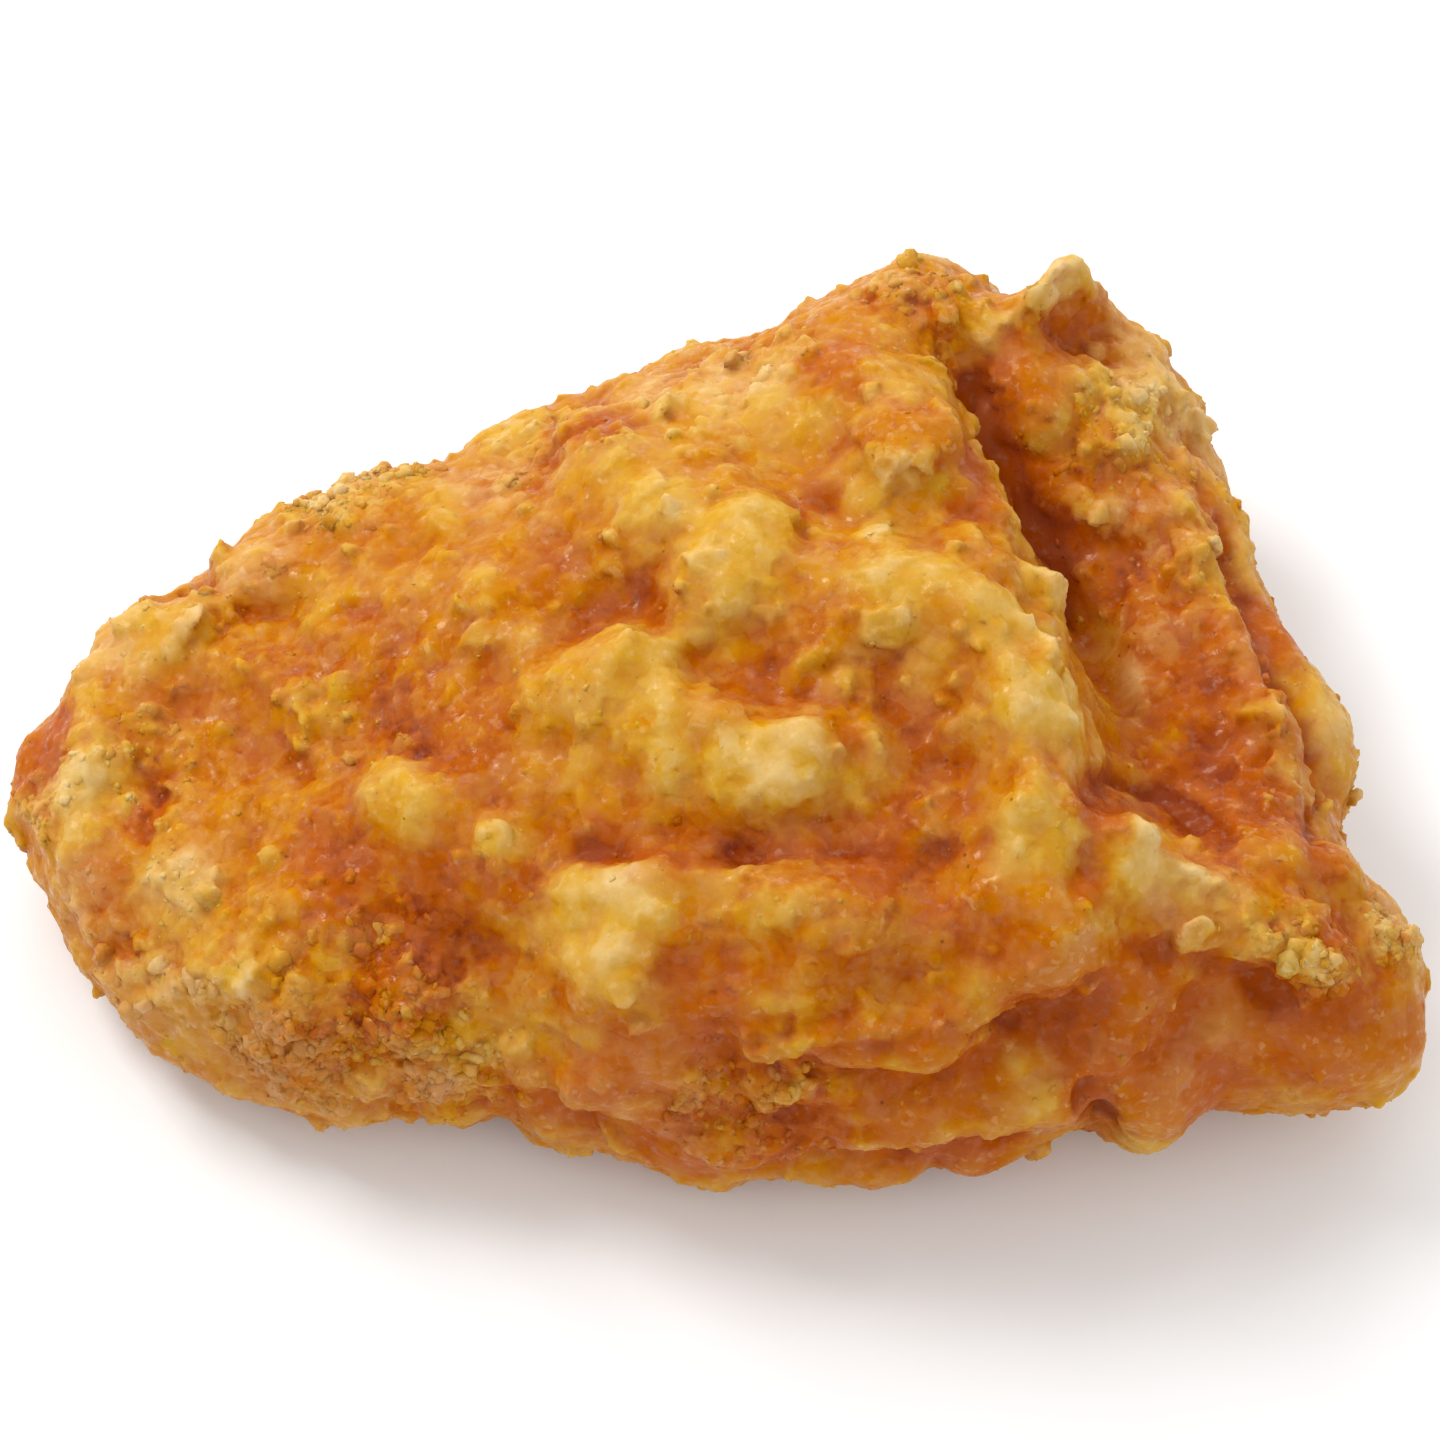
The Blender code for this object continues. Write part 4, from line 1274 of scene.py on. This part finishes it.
def crust_material():
    """Fried batter: pale on its crags, gold on its lumps, brown in its hollows, oily and speckled; the
    pale crags, gold lumps and brown hollows are partly painted light and painted shade, and the crests
    carry painted glints.
    """
    existing = bpy.data.materials.get("fried_batter")
    if existing:
        return existing
    tones = bpy.context.scene.chicken_crust
    material = bpy.data.materials.new("fried_batter")
    material.use_nodes = True
    nodes = Nodes(material)
    shader = material.node_tree.nodes["Principled BSDF"]
    place = nodes.add("ShaderNodeTexCoord").outputs["Object"]
    crag, swell = nodes.attribute("crag"), nodes.attribute("swell")
    golden_and_painted_light = nodes.attribute("golden_and_painted_light")
    mottle = nodes.noise(place, 140.0, 3.0, 0.6)
    blotch = nodes.noise(place, 420.0, 3.0, 0.6)
    sway = nodes.add("ShaderNodeTexNoise", {"Vector": place, "Scale": 900.0, "Detail": 2.0})
    inputs = {0: sway.outputs["Color"], 1: (0.7 * MM, 0.7 * MM, 0.7 * MM), 2: place}
    swayed = nodes.add("ShaderNodeVectorMath", inputs, operation="MULTIPLY_ADD").outputs["Vector"]
    bits, chips = nodes.cells(swayed, BITS_SCALE), nodes.cells(swayed, CHIPS_SCALE)
    # Lighter where the crust stands out and darker in its hollows: painted light and painted shade from
    # the relief, added to the patches' tone
    level = nodes.weigh(swell, 0.09, 0.42)
    for value, weight in ((crag, 0.34), (golden_and_painted_light, 0.21)):
        level = nodes.weigh(value, weight, level)
    rough = nodes.math("POWER", nodes.attribute("granular"), 2.0)
    bit_weight, chip_weight = nodes.weigh(rough, 0.12, 0.07), nodes.weigh(rough, 0.26, 0.05)
    shades = ((mottle, 0.24), (blotch, 0.14), (bits["Red"], bit_weight), (chips["Red"], chip_weight))
    for value, weight in shades:
        level = nodes.weigh(nodes.math("SUBTRACT", value, 0.5), weight, level)
    ramp = nodes.add("ShaderNodeValToRGB", {"Fac": level})
    stops = ramp.color_ramp.elements
    stops[0].position, stops[0].color = 0.02, tones.dark
    stops[1].position, stops[1].color = 0.95, tones.pale
    for position, colour in ((0.24, tones.brown), (0.45, tones.orange), (0.68, tones.gold)):
        stop = stops.new(position)
        stop.color = colour
    # Red also marks painted shade where patches, walls and cracks were reddened
    redness = nodes.math("MULTIPLY", nodes.attribute("reddened_and_painted_shade"), 0.68)
    colour = nodes.mix(redness, ramp.outputs["Color"], tones.red)
    fade = nodes.weigh(bits["Green"], 0.25, nodes.noise(place, 300.0, 4.0, 0.7))
    depth = nodes.span(fade, 0.30, 0.95, 1.04, 0.95)
    colour = nodes.add("ShaderNodeHueSaturation", {"Color": colour, "Saturation": depth}).outputs["Color"]
    # Paler flour mottling where floury, which along the outline is painted sheen of grazing edges
    flour_and_sheen = nodes.span(bits["Blue"], 0.1, 0.9, 0.16, 0.40)
    flour_and_sheen = nodes.math("MULTIPLY", nodes.attribute("floury_and_rim_sheen"), flour_and_sheen)
    flour_and_sheen = nodes.math("MULTIPLY", flour_and_sheen, nodes.span(level, 0.2, 0.55))
    colour = nodes.mix(flour_and_sheen, colour, tones.flour_and_sheen)
    # Small pale dots on the crests: painted glints
    painted_glint = nodes.span(nodes.cells(swayed, PAINTED_GLINT_SCALE)["Red"], 0.86, 0.98)
    painted_glint = nodes.math("MULTIPLY", painted_glint, nodes.span(crag, 0.05, 0.24))
    colour = nodes.mix(nodes.math("MULTIPLY", painted_glint, 0.15), colour, tones.painted_glint)
    inputs = {"Vector": place, "Scale": SPECKS_SCALE, "Randomness": 1.0}
    specks = nodes.add("ShaderNodeTexVoronoi", inputs)
    rare = nodes.span(nodes.noise(place, 330.0, 1.0), 0.66, 0.70)
    speck = nodes.math("MULTIPLY", nodes.span(specks.outputs["Distance"], 0.14, 0.07), rare)
    colour = nodes.mix(nodes.math("MULTIPLY", speck, 0.65), colour, tones.burnt)
    fine = nodes.noise(place, 1500.0, 3.0, 0.6)
    grit = nodes.noise(place, 3600.0, 2.0, 0.5)
    height = nodes.math("ADD", nodes.math("MULTIPLY", fine, 0.7), nodes.math("MULTIPLY", grit, 0.3))
    bump = nodes.add("ShaderNodeBump", {"Height": height, "Strength": 0.25, "Distance": 0.30 * MM})
    gloss = nodes.span(nodes.noise(place, 700.0, 2.0), 0.38, 0.62, 0.55, 0.25)
    glint = nodes.span(nodes.noise(place, 1000.0, 2.0), 0.54, 0.66, 0.06, 0.45)
    links = material.node_tree.links
    links.new(colour, shader.inputs["Base Color"])
    links.new(gloss, shader.inputs["Roughness"])
    links.new(glint, shader.inputs["Specular IOR Level"])
    links.new(bump.outputs["Normal"], shader.inputs["Normal"])
    shader.inputs["IOR"].default_value = 1.46
    shader.inputs["Specular Tint"].default_value = (1.0, 0.82, 0.60, 1.0)
    shader.inputs["Subsurface Weight"].default_value = 0.16
    shader.inputs["Subsurface Radius"].default_value = (1.0, 0.35, 0.1)
    shader.inputs["Subsurface Scale"].default_value = 1.5 * MM
    return material


class CHICKEN_OT_stage(Operator):
    """Set a pale floor, soft light from the back left, and the camera at the photograph's angle"""

    bl_idname = "chicken.stage"
    bl_label = "Stage"

    def execute(self, context):
        stage = context.scene.chicken_stage
        deselect_all()
        bpy.ops.mesh.primitive_plane_add(size=4.0, location=(0.0, 0.0, -0.05 * MM))
        floor = context.object
        floor.name = "floor"
        paper = bpy.data.materials.new("pale_floor")
        paper.use_nodes = True
        shader = paper.node_tree.nodes["Principled BSDF"]
        shader.inputs["Base Color"].default_value = stage.floor_colour
        shader.inputs["Roughness"].default_value = 0.9
        shader.inputs["Specular IOR Level"].default_value = 0.1
        floor.data.materials.append(paper)
        self.light("key", stage.key_power, (-0.42, 0.30, 0.62), 0.30)
        self.light("fill", stage.fill_power, (0.45, -0.50, 0.45), 0.60)
        self.light("back", stage.back_power, (0.05, 0.62, 0.34), 0.40)
        world = bpy.data.worlds.new("soft_room")
        context.scene.world = world
        world.use_nodes = True
        background = world.node_tree.nodes["Background"]
        background.inputs["Color"].default_value = (1.0, 1.0, 1.0, 1.0)
        background.inputs["Strength"].default_value = stage.surround
        camera = bpy.data.objects.new("camera", bpy.data.cameras.new("camera"))
        context.scene.collection.objects.link(camera)
        camera.data.lens = stage.lens
        camera.data.sensor_width = FILM_WIDTH
        camera.data.clip_start = 0.01
        camera.location = camera_place(stage)
        camera.rotation_euler = (math.pi / 2 - stage.elevation, 0.0, 0.0)
        context.scene.camera = camera
        context.scene.view_settings.view_transform = "Standard"
        return {"FINISHED"}

    def light(self, name, power, place, size):
        """A square soft light that faces the piece."""
        lamp = bpy.data.lights.new(name, "AREA")
        lamp.energy = power
        lamp.size = size
        light = bpy.data.objects.new(name, lamp)
        bpy.context.scene.collection.objects.link(light)
        light.location = place
        light.rotation_euler = (-Vector(place)).to_track_quat("-Z", "Y").to_euler()


class CHICKEN_PT_pieces(Panel):
    """Lists the pieces and the stage"""

    bl_idname = "CHICKEN_PT_pieces"
    bl_label = "Fried chicken"
    bl_space_type = "VIEW_3D"
    bl_region_type = "UI"
    bl_category = "Fried chicken"

    def draw(self, context):
        for part in ("crust", "crumbs", "grains", "stage"):
            group = getattr(context.scene, f"chicken_{part}")
            box = self.layout.box()
            for name in group.bl_rna.properties.keys():
                if name not in {"rna_type", "name"}:
                    box.prop(group, name)
            box.operator(f"chicken.{part}")


CLASSES = (
    ChickenCrust,
    ChickenCrumbs,
    ChickenGrains,
    ChickenStage,
    CHICKEN_OT_crust,
    CHICKEN_OT_crumbs,
    CHICKEN_OT_grains,
    CHICKEN_OT_stage,
    CHICKEN_PT_pieces,
)


def register():
    for item in CLASSES:
        bpy.utils.register_class(item)
    bpy.types.Scene.chicken_crust = PointerProperty(type=ChickenCrust)
    bpy.types.Scene.chicken_crumbs = PointerProperty(type=ChickenCrumbs)
    bpy.types.Scene.chicken_grains = PointerProperty(type=ChickenGrains)
    bpy.types.Scene.chicken_stage = PointerProperty(type=ChickenStage)


def unregister():
    del bpy.types.Scene.chicken_stage
    del bpy.types.Scene.chicken_grains
    del bpy.types.Scene.chicken_crumbs
    del bpy.types.Scene.chicken_crust
    for item in reversed(CLASSES):
        bpy.utils.unregister_class(item)


def main():
    register()
    bpy.ops.chicken.crust()
    bpy.ops.chicken.crumbs()
    bpy.ops.chicken.grains()
    bpy.ops.chicken.stage()


if __name__ == "__main__":
    main()
